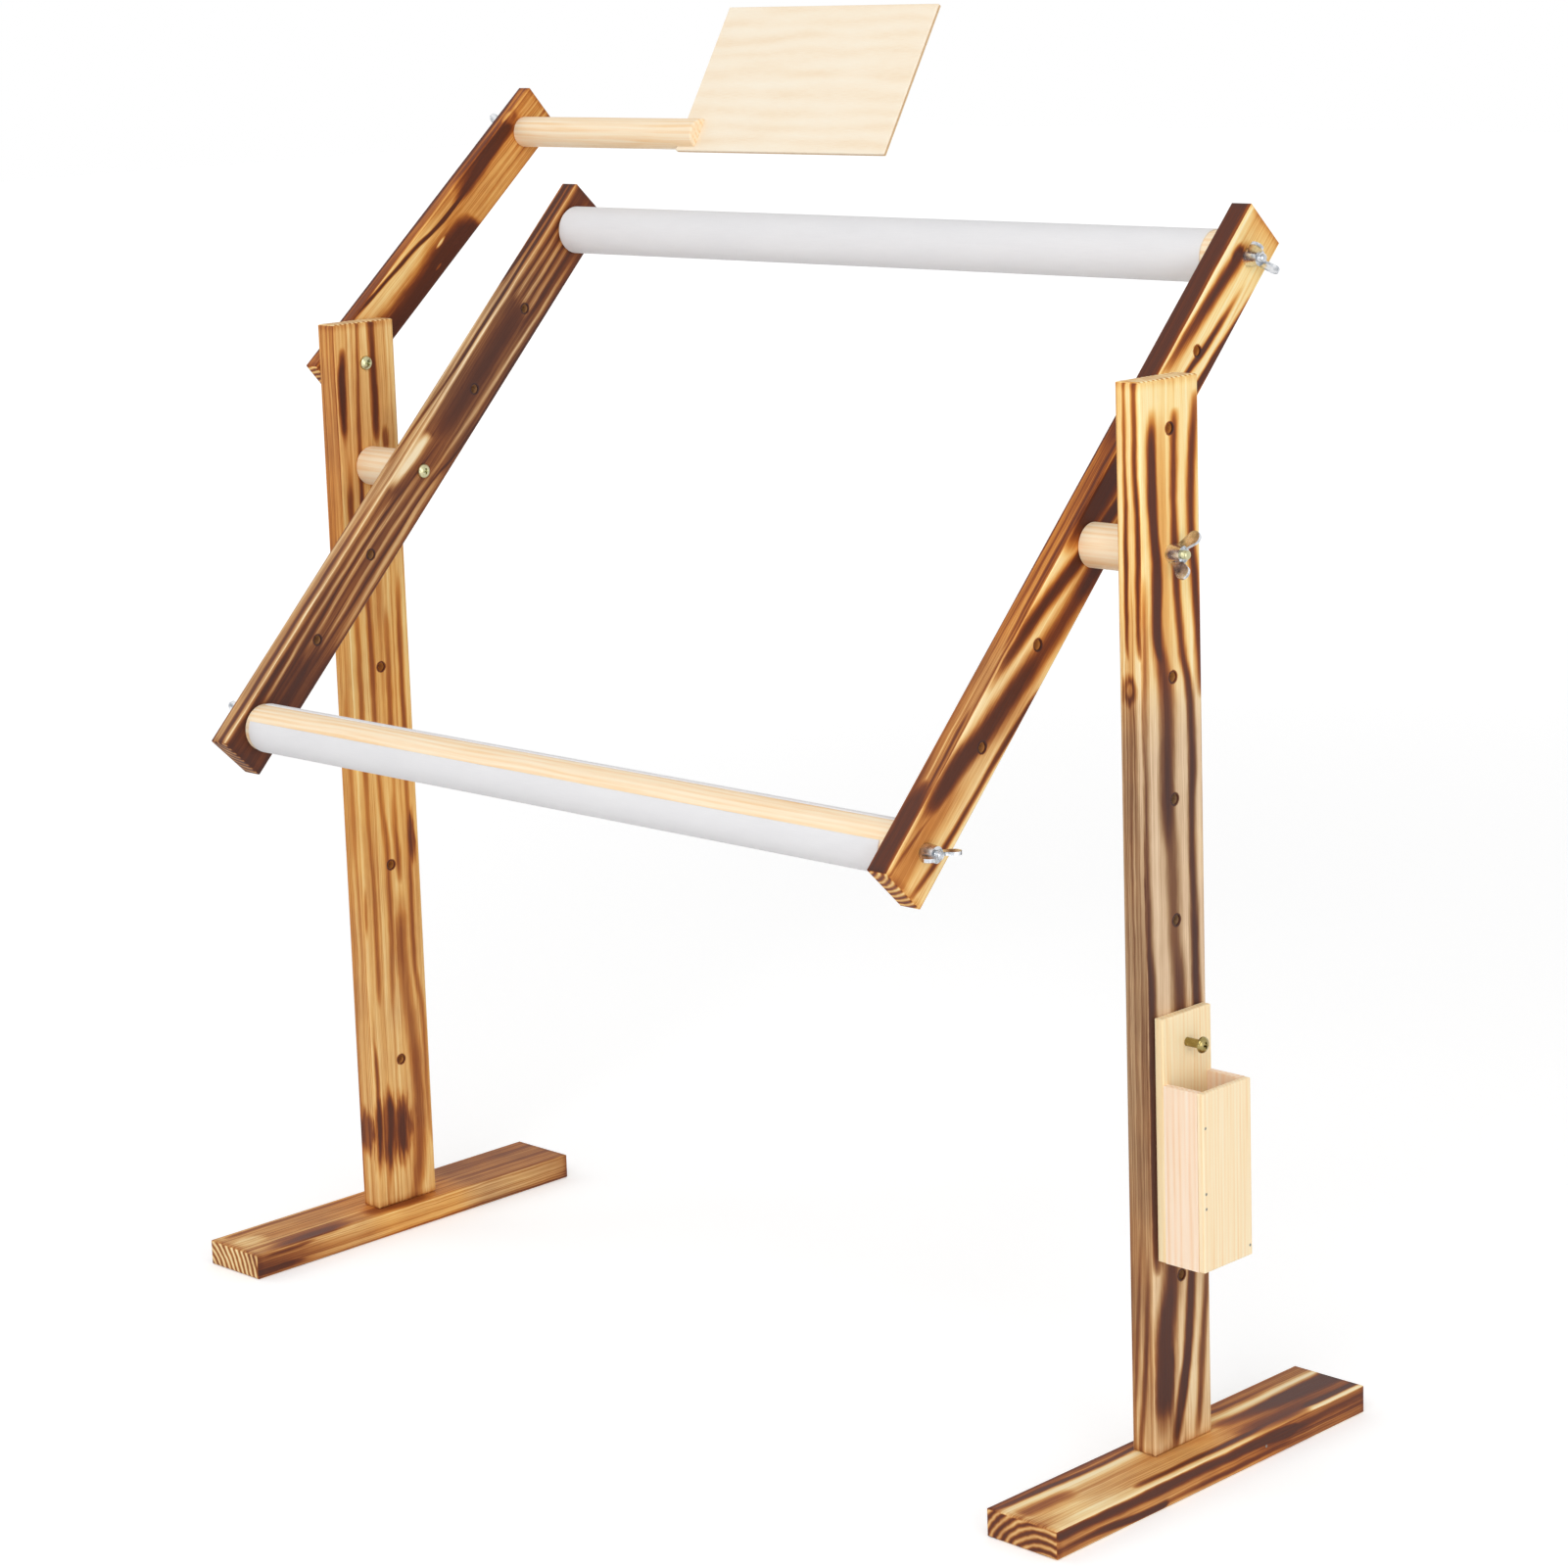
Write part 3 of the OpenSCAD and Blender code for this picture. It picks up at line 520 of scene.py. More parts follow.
LEFT_ARM_GRAIN = Grain(
    streaks=[
        (14, 74, [(0, -34), (15, -35), (33, -32, 90), (43, -28, 50), (47, -26, 0)]),
        (10, 90, [(46, -78, 0), (50, -70, 60), (57, -58, 70), (63, -40, 80), (70, -28, 110), (80, -27, 110),
         (90, -30, 120), (100, -30, 130)]),
        (10, 74, [(0, -93, 90), (12, -95, 50), (25, -100, 0), (35, -95, 90), (50, -98, 80), (75, -98, 20),
         (82, -85, 110), (90, -70, 220), (100, -65, 240)]),
        (7, 84, [(0, 12, 50), (3, 12, 90), (10, 11, 110), (20, 11, 80), (30, 9, 60), (44, 9, 50),
         (48, 20, 30), (50, 22, 0)]),
        (3.5, 84, [(0, 36, 70), (10, 36, 110), (20, 34), (26.7, 29), (33.3, 27.5), (40, 29), (46.7, 37),
         (55, 46, 80), (60, 50, 0)]),
        (12, 92, [(0, 60, 90), (10, 62, 110), (17, 60, 90), (21, 58, 50), (25, 54, 60), (37, 52, 70),
         (46, 55, 60), (52, 60, 50), (58, 62, 40), (62, 62, 0)]),
        (3, 84, [(22, 78, 0), (27, 74, 90), (31.7, 72), (36.7, 73), (43.3, 76), (50, 80, 110),
         (55, 90, 110), (60, 94, 120), (73, 95, 120), (90, 97)]),
        (10, 90, [(0, 95), (10, 95, 90), (17, 92, 90), (25, 97, 50), (35, 98, 50), (50, 100, 0)]),
        (27, 86, [(50, 40, 0), (55, 36, 70), (60, 40, 95), (70, 42, 98), (77, 42, 95), (81, 42, 50),
         (84, 42, 0)]),
        (4.5, 82, [(75, 12, 0), (79, 12, 80), (83, 13), (90, 14), (100, 12, 90)]),
        (3.5, 78, [(76, 32, 0), (80, 32, 80), (85, 31), (92, 32), (100, 30, 90)]),
        (3.5, 80, [(76, 50, 0), (80, 50, 80), (85, 48), (92, 48), (100, 47, 90)]),
        (7, 88, [(73, 65, 0), (77, 66, 80), (83, 69), (92, 70), (100, 68, 80)]),
        # Painted highlight along the near edge, all down the arm, laid as a bare streak.
        (4.5, -85, [(0, -3), (20, -2, 90), (40, -2), (60, -3, 110), (80, 0, 70), (100, 1, 50)]),
        (7, -95, [(44, 5, 0), (47, 10), (50, 13, 130), (53, 15, 110), (55, 20, 0)]),
        (2.8, -55, [(7, 25, 0), (13, 24), (25, 20, 110), (38, 21), (45, 24, 0)]),
        (3.5, -50, [(16, 45, 0), (22, 42), (32, 37, 110), (44, 42), (52, 50, 0)]),
        (3, -50, [(18, 64, 0), (25, 63), (35, 60, 110), (46, 65), (53, 72, 0)]),
        (4, -50, [(20, 90, 0), (28, 88), (38, 84, 110), (47, 85), (53, 88, 0)]),
        (3, -50, [(50, 70, 0), (56, 74), (70, 80, 120), (82, 84), (93, 85, 0)]),
        (3.5, -50, [(79, 21, 0), (83, 21), (90, 22, 90), (95, 22, 0)]),
        (3, -50, [(79, 40, 0), (83, 40), (90, 40, 90), (95, 40, 0)]),
        (3, -50, [(78, 58, 0), (83, 58), (90, 58, 90), (95, 58, 0)]),
    ],
    patches=[],
    bare_side=[(0, 74), (8, 72), (20, 68), (35, 64), (50, 62), (65, 62), (85, 66), (100, 66)],
    bare_face=[(0, 32), (25, 34), (50, 34), (70, 26), (82, 42), (100, 60)],
    dull=[(0, 60), (20, 65), (50, 60), (60, 75), (75, 80), (88, 50), (100, 30)],
    lines=(0.4, 0.3), ends=(12, 26, 0.55, 5.0), seed=41.0,
)
PATTERN_ARM_GRAIN = Grain(
    streaks=[
        (22, 92, [(0, -95, 60), (15, -90), (50, -85), (80, -85, 110), (100, -95, 90)]),
        (25, 62, [(10, -30, 80), (30, -30), (41, -40, 80), (50, -50, 50), (62, -40, 70), (75, -20, 120),
         (88, -25), (100, -50, 60)]),
        (3.2, 95, [(10, 0, 80), (18, 2), (27, 7), (37, 12), (43.3, 14.5), (46.7, 18, 110), (52, 24, 120),
         (57, 26.5, 150), (64, 27, 150), (72, 25), (85, 20, 60), (95, 20, 40)]),
        (20, 85, [(58, 2, 0), (68, 2, 80), (80, 3), (88, 5, 90), (93, 10, 40), (98, 12, 0)]),
        (12, 100, [(56, 26, 0), (62, 24, 60), (70, 21, 105), (78, 17, 115), (85, 15, 110), (90, 20, 50),
         (95, 22, 30), (100, 22, 30)]),
        (27, 100, [(0, 84, 90), (20, 80, 95), (27, 82, 90), (40, 84), (48, 80, 105), (55, 82, 105),
         (60, 90, 95), (63, 100, 50), (66, 110, 0)]),
        (4, 45, [(50, 34, 0), (58, 40), (65, 44, 60), (72, 46, 0)]),
    ],
    patches=[(50, 52, 2, 3.5, -50), (45.5, 81, 1.6, 3, -45), (89, -10, 2, 30, -20)],
    bare_side=[(0, 44), (15, 18), (30, 16), (48, 24), (60, 36), (80, 38), (100, 42)],
    bare_face=[(0, 56), (20, 62), (45, 50), (60, 50), (75, 62), (92, 50), (100, 56)],
    dull=[(0, 10), (40, 0), (100, 0)],
    lines=(0.4, 0.3), ends=(9, -30, 0.4, 4.6), seed=53.0,
)
RIGHT_FOOT_GRAIN = Grain(
    streaks=[
        (5, 85, [(0, -90, 70), (5, -87), (20, -83, 110), (30, -80, 110), (44, -83, 110), (60, -84, 90),
         (75, -80, 80), (100, -82, 50)]),
        (10, 72, [(0, -98, 90), (40, -98), (65, -100, 70), (85, -100, 60), (100, -100, 50)]),
        (14, 55, [(1, -60, 30), (4, -60), (12, -60), (19, -60, 40), (24, -60, 0)]),
        (4.5, 82, [(25, -12, 0), (30, -13, 90), (40, -13), (60, -12, 110), (68, -13), (80, -14, 90),
         (86, -13, 160), (100, -12, 160)]),
        (15, 98, [(58, -55, 0), (64, -53, 60), (73, -51, 80), (80, -48, 105), (88, -46, 115),
         (100, -46, 120)]),
        (14, 74, [(58, -20, 0), (64, -20, 80), (75, -18), (85, -22, 90), (100, -20, 80)]),
        (10, 34, [(20, -50, 0), (26, -50, 50), (38, -48), (50, -45), (60, -35, 80), (70, -32, 0)]),
        (17, 100, [(0, 20, 70), (3, 22, 95), (20, 22), (50, 24), (65, 28, 110), (72, 34, 160), (77, 36, 90),
         (90, 30, 70), (100, 30, 70)]),
        (11, 90, [(0, 70, 70), (10, 68, 90), (20, 74, 120), (32, 80, 130), (35, 76, 60), (50, 76, 80),
         (62, 74, 80), (70, 72, 80), (80, 70, 40), (100, 70, 40)]),
        # Painted highlight along the near edge, laid as a bare streak.
        (4, -90, [(0, -4, 80), (20, -3), (45, -2, 80), (60, -2, 50), (70, 0, 0), (79, 0, 0), (84, -3, 110),
         (100, -2, 120)]),
        (5, -100, [(2, -76, 80), (30, -72), (44, -72, 80), (60, -70, 70), (75, -66), (86, -68),
         (100, -70)]),
    ],
    patches=[(14, -22, 12, 14, -12)],
    bare_side=[(0, 40), (30, 34), (60, 40), (75, 56), (85, 50), (100, 54)],
    bare_face=[(0, 30), (12, 24), (30, 30), (50, 30), (65, 42), (80, 50), (100, 50)],
    dull=[(0, 35), (30, 30), (60, 20), (75, 35), (100, 45)],
    lines=(0.36, 0.4), ends=(20, -34, 0.42, 5.4), seed=67.0,
)
LEFT_FOOT_GRAIN = Grain(
    streaks=[
        (5, 60, [(2, -88, 50), (8, -88), (30, -88), (45, -90, 80), (60, -94, 50)]),
        (13, 62, [(0, -4, 40), (6, -6, 80), (12, -8, 110), (20, -8, 120), (28, -12, 90), (36, -16, 0)]),
        (17, 60, [(34, -20, 0), (40, -20), (50, -15), (58, -25, 60), (65, -40, 0)]),
        (5, 56, [(60, -50, 0), (66, -50), (80, -52, 90), (100, -50, 90)]),
        (3.5, 56, [(68, -2, 0), (75, -2), (95, -2), (100, 0, 50)]),
        (10, 75, [(0, 20, 80), (8, 18), (15, 14, 80), (20, 10, 0)]),
        (13, 95, [(0, 72), (6, 72, 110), (12, 74, 80), (17, 80, 50), (30, 84, 40)]),
        (5, 60, [(14, 82, 0), (20, 84, 80), (35, 90, 90), (60, 88), (95, 90, 110)]),
        (5, 40, [(20, 30, 0), (30, 34, 80), (55, 40, 70), (80, 50, 90), (97, 50, 70)]),
    ],
    patches=[(5.5, -55, 5, 16, -20), (18, -25, 12, 14, 12)],
    bare_side=[(0, 62), (15, 46), (30, 33), (70, 31), (95, 36), (100, 48)],
    bare_face=[(0, 37), (40, 38), (65, 42), (75, 50), (100, 48)],
    dull=[(0, 40), (30, 30), (45, 5), (60, 5), (72, 50), (100, 40)],
    lines=(0.36, 0.4), ends=(-46, -22, 0.3, 5.4), seed=71.0,
)


# Places of the holes along their boards, from each board's middle

HOLE_PITCH = middle("pattern_arm_bolt").z - middle("left_pivot_bolt").z
TOP_POST_HOLE = middle("pattern_arm_bolt").z - middle("left_post").z
LOWEST_POST_HOLE = FOOT.z + LOWEST_HOLE_HEIGHT - middle("left_post").z
POST_HOLES = [TOP_POST_HOLE - HOLE_PITCH * step for step in range(6)] + [LOWEST_POST_HOLE]
ARM_HOLES = [HOLE_PITCH * step for step in range(-3, 4)]
UP_PATTERN_ARM = Vector((0, math.cos(PATTERN_SLOPE), math.sin(PATTERN_SLOPE)))
PATTERN_ARM_HOLES = [
    (middle(node) - middle("pattern_arm")).dot(UP_PATTERN_ARM)
    for node in ("pattern_arm_bolt", "pattern_stick")
]

BOARDS = [
    ("left_foot", 0.0, FOOT.y, FOOT.z, [], LEFT_FOOT_GRAIN),
    ("right_foot", 0.0, FOOT.y, FOOT.z, [], RIGHT_FOOT_GRAIN),
    ("left_post", UPRIGHT, POST.z, POST.y, POST_HOLES, LEFT_POST_GRAIN),
    ("right_post", UPRIGHT, POST.z, POST.y, POST_HOLES, RIGHT_POST_GRAIN),
    ("left_arm", FRAME_TILT, ARM_LENGTH, ARM_DEPTH, ARM_HOLES, LEFT_ARM_GRAIN),
    ("right_arm", FRAME_TILT, ARM_LENGTH, ARM_DEPTH, ARM_HOLES, RIGHT_ARM_GRAIN),
    ("pattern_arm", PATTERN_SLOPE, PATTERN_ARM_LENGTH, PATTERN_ARM_DEPTH, PATTERN_ARM_HOLES,
     PATTERN_ARM_GRAIN),
]


# Pale woods, cloth and metals

def turned_wood(name, axis, seed):
    """Pale pine turned round, with its grain along X."""
    g = material_graph(name)
    x, y, z = g.place(axis)
    bend = g.noise(x / 160, y / 30, z / 30, 1, seed) * 5
    rings = g.math("SINE", (y * 0.8 + z * 0.6 + bend) * 1.5) * 0.5
    streak = g.noise(x / 90, (y + bend) / 2.2, (z + bend) / 2.2, 2, seed)
    fibre = g.noise(x / 14, y / 0.45, z / 0.45, 2, seed)
    tone = rings * 0.28 + streak * 0.9 + fibre * 0.25 + 0.42
    colour = g.ramp(tone, ((0, "#fdf0d6"), (0.4, "#fbe3c0"), (0.7, "#f6cf9c"), (1, "#e8b274")))
    return g.finish(colour, 0.55 + fibre * 0.1, fibre + streak * 0.4, relief=0.12)


def box_pine(name, seed, pink, depth):
    """Thin planed pine with its grain upright, rosier with pink and deeper in colour with depth."""
    g = material_graph(name)
    x, y, z = g.place(middle("caddy_bolt"))
    bend = g.noise(x / 30, y / 30, z / 150, 1, seed) * 6
    lines = g.math("SINE", (x * 0.7 + y + bend) * 1.9) * 0.5
    streak = g.noise(x / 2.4, (y + bend) / 2.4, z / 110, 2, seed)
    fibre = g.noise(x / 0.5, y / 0.5, z / 14, 2, seed)
    tone = lines * 0.2 + streak * 0.85 + fibre * 0.22 + (0.4 + depth)
    yellow = g.ramp(tone, ((0, "#fdf0cf"), (0.45, "#fbe3b6"), (0.75, "#f6d097"), (1, "#e9b675")))
    rosy = g.ramp(tone, ((0, "#fceadb"), (0.45, "#fadcc2"), (0.75, "#f3c8a2"), (1, "#e5ad80")))
    colour = g.mix(pink, yellow, rosy)
    return g.finish(colour, 0.58 + fibre * 0.1, fibre + streak * 0.4, relief=0.1)


def veneered_board(name, turn):
    """Thin plywood: a plain pale face veneer, and three plies seen on its edges."""
    g = material_graph(name)
    x, y, z = g.place(middle("pattern_board"), turn)
    bend = g.noise(x / 130, y / 45, 0, 1, 5) * 26
    figure = g.math("SINE", (y + bend) * 0.42) * 0.5
    pores = g.noise(x / 9, y / 0.5, 0, 2, 9)
    tone = figure * 0.16 + pores * 0.4 + g.noise(x / 70, y / 12, 0, 2, 2) * 0.5 + 0.38
    face = g.ramp(tone, ((0, "#fbf2e0"), (0.4, "#f8e8cf"), (0.7, "#f1d9b7"), (1, "#e0bd92")))
    inner = g.ramp(pores + 0.5, ((0, "#e7c79c"), (1, "#bb8f5f")))
    core = g.step(g.math("ABSOLUTE", z), 0.95, 0.7)
    colour = g.mix(core, face, inner)
    return g.finish(colour, 0.6 + pores * 0.1, pores - core * 0.3, relief=0.1)


COTTON_PITCH = 0.55


def cotton_tape(name, axis, turn, radius):
    """White plain-weave cotton wrapped round an axis along X, at a radius in mm."""
    g = material_graph(name)
    x, y, z = g.place(axis, turn)
    round_way = g.math("ARCTAN2", z, y) * radius
    per_thread = 2 * math.pi / COTTON_PITCH
    wobble = g.noise(x / 3, round_way / 3, 0, 2, 1) * 0.35
    warp = g.math("SINE", (x + wobble) * per_thread)
    weft = g.math("SINE", (round_way + wobble) * per_thread)
    weave = warp * weft
    slub = g.noise(x / 16, round_way / 0.6, 0, 2, 4)
    soil = g.noise(x / 60, round_way / 20, 0, 2, 8)
    tone = weave * 0.06 + slub * 0.22 + soil * 0.3 + 0.6
    colour = g.ramp(tone, ((0, "#d8d6da"), (0.45, "#ebeaec"), (0.8, "#f4f3f4"), (1, "#f8f7f8")))
    return g.finish(colour, 0.86, weave * 0.5 + slub, relief=0.12, Sheen_Weight=0.25, Sheen_Roughness=0.5)


def plated_steel(name, stops, roughness, stain=0.5):
    """Plated metal with faint clouds in its colour and fine wear in its gloss."""
    g = material_graph(name)
    x, y, z = g.place()
    cloud = g.noise(x / 5, y / 5, z / 5, 3, 2)
    grit = g.noise(x / 0.5, y / 0.5, z / 0.5, 2, 6)
    colour = g.ramp(cloud * stain * 2 + 0.5 + grit * 0.1, stops)
    return g.finish(colour, roughness + cloud * 0.2 + grit * 0.12, grit, relief=0.03, Metallic=1.0)


ZINC = plated_steel(
    "bright_zinc", ((0, "#777b80"), (0.35, "#b8bcc1"), (0.6, "#dfe1e4"), (1, "#f7f8f9")),
    roughness=0.24, stain=0.9)
YELLOW_ZINC = plated_steel(
    "yellow_zinc", ((0, "#a0aa86"), (0.4, "#bfbf96"), (0.7, "#d2cba4"), (1, "#cdb29c")), roughness=0.3)
BRASSY = plated_steel(
    "dull_brass_plate", ((0, "#6d6038"), (0.5, "#9c8c58"), (1, "#c9bb8a")), roughness=0.25)
NAIL_STEEL = plated_steel(
    "nail_steel", ((0, "#6b6a66"), (0.5, "#8f8d86"), (1, "#b4b1a8")), roughness=0.4)


def dress(node, material):
    """Gives a whole CAD node one material."""
    for slot in nodes[node].material_slots:
        slot.material = material


for board in BOARDS:
    dress(board[0], scorched_pine(*board))
for index, node in enumerate((
        "left_spacer", "right_spacer", "upper_roller", "lower_roller", "pattern_stick")):
    dress(node, turned_wood(node + "_wood", middle(node), 4.0 * index))
for index, (node, pink, depth) in enumerate((
        ("caddy_back_board", 0.0, 0.08),
        ("caddy_outer_board", 0.15, 0.0),
        ("caddy_near_side", 0.8, 0.0),
        ("caddy_far_side", 0.8, 0.0),
        ("caddy_bottom_board", 0.15, 0.0),
)):
    dress(node, box_pine(node + "_wood", 6.0 * index, pink, depth))
dress("pattern_board", veneered_board("pattern_board_veneer", BOARD_SLOPE))
for node in nodes:
    if node.endswith(("wing_nut", "washer", "washers")):
        dress(node, ZINC)
dress("caddy_bolt_washer", YELLOW_ZINC)
dress("caddy_bolt_nut", YELLOW_ZINC)


# Mesh tools

def add_object(name, shape):
    """Object from a bmesh."""
    mesh = bpy.data.meshes.new(name)
    shape.to_mesh(mesh)
    shape.free()
    obj = bpy.data.objects.new(name, mesh)
    scene.collection.objects.link(obj)
    return obj


def new_piece(name, shape, material, body, smooth_below=35):
    """Object that rides on a body of the frame. Edges sharper than smooth_below degrees stay sharp."""
    bmesh.ops.recalc_face_normals(shape, faces=shape.faces)
    obj = add_object(name, shape)
    obj.data.polygons.foreach_set("use_smooth", [True] * len(obj.data.polygons))
    obj.data.set_sharp_from_angle(angle=math.radians(smooth_below))
    obj.data.materials.append(material)
    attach(obj, body)
    return obj


def skin_rings(shape, rings):
    """Joins neighbouring rings of vertices with quads, and caps both ends."""
    for ring, following in zip(rings, rings[1:]):
        for i, vertex in enumerate(ring):
            j = (i + 1) % len(ring)
            shape.faces.new((vertex, ring[j], following[j], following[i]))
    shape.faces.new(rings[0])
    shape.faces.new(rings[-1])


def cut_away(obj, cutter_shape):
    """Takes a closed cutter shape out of an object's mesh."""
    bmesh.ops.recalc_face_normals(cutter_shape, faces=cutter_shape.faces)
    cutter = add_object("cutter", cutter_shape)
    cut = obj.modifiers.new("cut", "BOOLEAN")
    cut.object = cutter
    cut.solver = "EXACT"
    bpy.context.view_layer.update()
    result = bpy.data.meshes.new_from_object(obj.evaluated_get(bpy.context.evaluated_depsgraph_get()))
    obj.modifiers.clear()
    obj.data = result
    bpy.data.objects.remove(cutter, do_unlink=True)


# Cloth strips

STRIP_WIDTH = 94 * MM
STRIP_THICKNESS = 0.76 * MM
STRIP_CLEARANCE = 0.12 * MM
STRIP_EDGE = 0.7 * MM
STRIP_SLACK = 0.03 * MM
STRIP_STEPS_ALONG = 60
STRIP_STEPS_ROUND = 96
UPPER_BARE_TURN = math.radians(-10)
LOWER_BARE_TURN = math.radians(124)


def spread(start, end, edge, count):
    """Places from start to end, with finer steps in the rounded edge at both ends."""
    fine = [0, 0.12, 0.35, 0.65, 1]
    inner = [start + edge + (end - start - 2 * edge) * i / count for i in range(1, count)]
    return [start + edge * f for f in fine] + inner + [end - edge * f for f in reversed(fine)]


def strip_points(shape, start, end, axis, inner_radius, bare_turn):
    """Rows of vertices on the outer and the inner side of a strip that goes round an axis along X."""
    middle_radius = inner_radius + STRIP_THICKNESS / 2
    half_turn = STRIP_WIDTH / middle_radius / 2
    outer = []
    inner = []
    for x in spread(start, end, STRIP_EDGE, STRIP_STEPS_ALONG):
        outer.append([])
        inner.append([])
        for turn in spread(-half_turn, half_turn, STRIP_EDGE / middle_radius, STRIP_STEPS_ROUND):
            to_edge = min(x - start, end - x, (half_turn - abs(turn)) * middle_radius)
            rounding = math.sqrt(max(0, 1 - (1 - min(1, to_edge / STRIP_EDGE)) ** 2))
            slack = STRIP_SLACK * math.sin(x / MM * 0.11 + turn * 3) * math.sin(turn * 5)
            thickness = STRIP_THICKNESS * (0.3 + 0.7 * rounding) - abs(slack)
            angle = bare_turn + math.pi + turn
            direction = Vector((0, math.cos(angle), math.sin(angle)))
            axis_point = Vector((x, axis.y, axis.z))
            inner[-1].append(shape.verts.new(axis_point + direction * inner_radius))
            outer[-1].append(shape.verts.new(axis_point + direction * (inner_radius + thickness)))
    return outer, inner


def skin_strip(shape, outer, inner):
    """Joins the outer and the inner vertices of a strip into a closed skin."""
    last_x = len(outer) - 1
    last_turn = len(outer[0]) - 1
    for layer in (outer, inner):
        for i in range(last_x):
            for j in range(last_turn):
                shape.faces.new((layer[i][j], layer[i + 1][j], layer[i + 1][j + 1], layer[i][j + 1]))
    for j in (0, last_turn):
        for i in range(last_x):
            shape.faces.new((outer[i][j], outer[i + 1][j], inner[i + 1][j], inner[i][j]))
    for i in (0, last_x):
        for j in range(last_turn):
            shape.faces.new((outer[i][j], outer[i][j + 1], inner[i][j + 1], inner[i][j]))


def make_cloth_strip(node, roller, bare_turn):
    """Strip of cotton wrapped round a roller, its two long edges on both sides of the bare stripe."""
    low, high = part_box(node)
    inner_radius = extent(roller).z / 2 + STRIP_CLEARANCE
    shape = bmesh.new()
    skin_strip(shape, *strip_points(shape, low.x, high.x, middle(roller), inner_radius, bare_turn))
    cloth_radius = (inner_radius + STRIP_THICKNESS / 2) / MM
    cotton = cotton_tape(node + "_cotton", middle(roller), bare_turn, cloth_radius)
    strip = new_piece(node + "_cotton", shape, cotton, roller, smooth_below=60)
    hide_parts(node)


make_cloth_strip("upper_cloth_strip", "upper_roller", UPPER_BARE_TURN)
make_cloth_strip("lower_cloth_strip", "lower_roller", LOWER_BARE_TURN)


# Bolts, screws and nails

# Each is a round rod along the Z axis of its place, through stations of (height, radius, thread
# depth). The stations and the sizes below are in mm.

LEFT = -1
RIGHT = 1
STATION_GAP = 0.1
RECESS_HALF_BAR = 0.75
RECESS_TAPER = 0.45
BOLT_THREAD = 1.0
WOOD_THREAD = 2.2
SCREW_TIP_RADIUS = 0.4

BOLT_RADIUS = 3
BOLT_END = 0.8
HEAD_RADIUS = 5.5
HEAD_HEIGHT = 3.8
HEAD_RECESS = (2.6, 2.4)
PIVOT_THREAD = 24
PATTERN_ARM_THREAD = 20
CADDY_THREAD = 30

HANGER_DEPTH = 32
HANGER_POINT = 4
HANGER_NECK = 6
HANGER_THREAD = 16

FOOT_SCREW_LENGTH = 60
FOOT_SCREW_RADIUS = 2.5
FOOT_SCREW_SHANK = 26
FOOT_SCREW_POINT = 6
FOOT_SCREW_DEPTH_IN_SOLE = 0.5
FOOT_SCREW_SPACING = 28
FOOT_SCREW_RECESS = (2.2, 2.0)


def add_rod(shape, place, stations, pitch=BOLT_THREAD, sides=24):
    """Adds a closed rod through its stations, with a groove that winds round it once per pitch."""
    rings = []
    for height, radius, depth in stations:
        ring = []
        for i in range(sides):
            turn = 2 * math.pi * i / sides
            groove = depth * abs((height / pitch - i / sides) % 1 * 2 - 1)
            reach = (radius - groove) * MM
            point = Vector((reach * math.cos(turn), reach * math.sin(turn), height * MM))
            ring.append(shape.verts.new(place @ point))
        rings.append(ring)
    skin_rings(shape, rings)


def thread(start, end, radius, pitch=BOLT_THREAD, depth=0.5):
    """Stations of a screw thread that runs out at both ends."""
    steps = max(2, round((end - start) / pitch * 6))
    stations = []
    for i in range(steps + 1):
        height = start + (end - start) * i / steps
        fade = min(1, (height - start) / pitch, (end - height) / pitch)
        stations.append((height, radius, depth * fade))
    return stations


def pan_head(radius, height):
    """Stations of a domed head whose flat underside is at height 0."""
    stations = []
    for angle in (4, 12, 22, 34, 46, 58, 70, 82, 90):
        lift = 0.82 * (1 - math.cos(math.radians(angle)))
        stations.append((height * (lift - 1), radius * math.sin(math.radians(angle)), 0))
    stations += [(-0.25, radius, 0), (0, radius - 0.3, 0)]
    return stations


def bolt_stations(length, thread_length):
    """Stations of a bolt with a pan head, from the top of its head to its end."""
    thread_start = length - thread_length
    return (
        pan_head(HEAD_RADIUS, HEAD_HEIGHT)
        + [(0.02, BOLT_RADIUS, 0), (thread_start - STATION_GAP, BOLT_RADIUS, 0)]
        + thread(thread_start, length - BOLT_END, BOLT_RADIUS)
        + [(length, BOLT_RADIUS - BOLT_END, 0)]
    )


def hanger_stations(out):
    """Stations of a bolt with a wood thread below height 0 and a machine thread above it."""
    point = HANGER_POINT - HANGER_DEPTH
    return (
        [(-HANGER_DEPTH, SCREW_TIP_RADIUS, 0), (point, 2.6, 0)]
        + thread(point + STATION_GAP, -HANGER_NECK, BOLT_RADIUS, WOOD_THREAD, 0.9)
        + [(STATION_GAP - HANGER_NECK, BOLT_RADIUS, 0)]
        + [(out - HANGER_THREAD - STATION_GAP, BOLT_RADIUS, 0)]
        + thread(out - HANGER_THREAD, out - BOLT_END, BOLT_RADIUS)
        + [(out, BOLT_RADIUS - BOLT_END, 0)]
    )


def foot_screw_stations():
    """Stations of a countersunk wood screw, from its head to its point."""
    point = FOOT_SCREW_LENGTH - FOOT_SCREW_POINT
    return (
        [(0, 4.5, 0), (0.2, 4.9, 0), (0.5, 4.6, 0), (2.5, FOOT_SCREW_RADIUS, 0)]
        + [(FOOT_SCREW_SHANK, FOOT_SCREW_RADIUS, 0)]
        + thread(FOOT_SCREW_SHANK + STATION_GAP, point, FOOT_SCREW_RADIUS, WOOD_THREAD, 0.7)
        + [(point + STATION_GAP, 2.4, 0), (FOOT_SCREW_LENGTH, SCREW_TIP_RADIUS, 0)]
    )


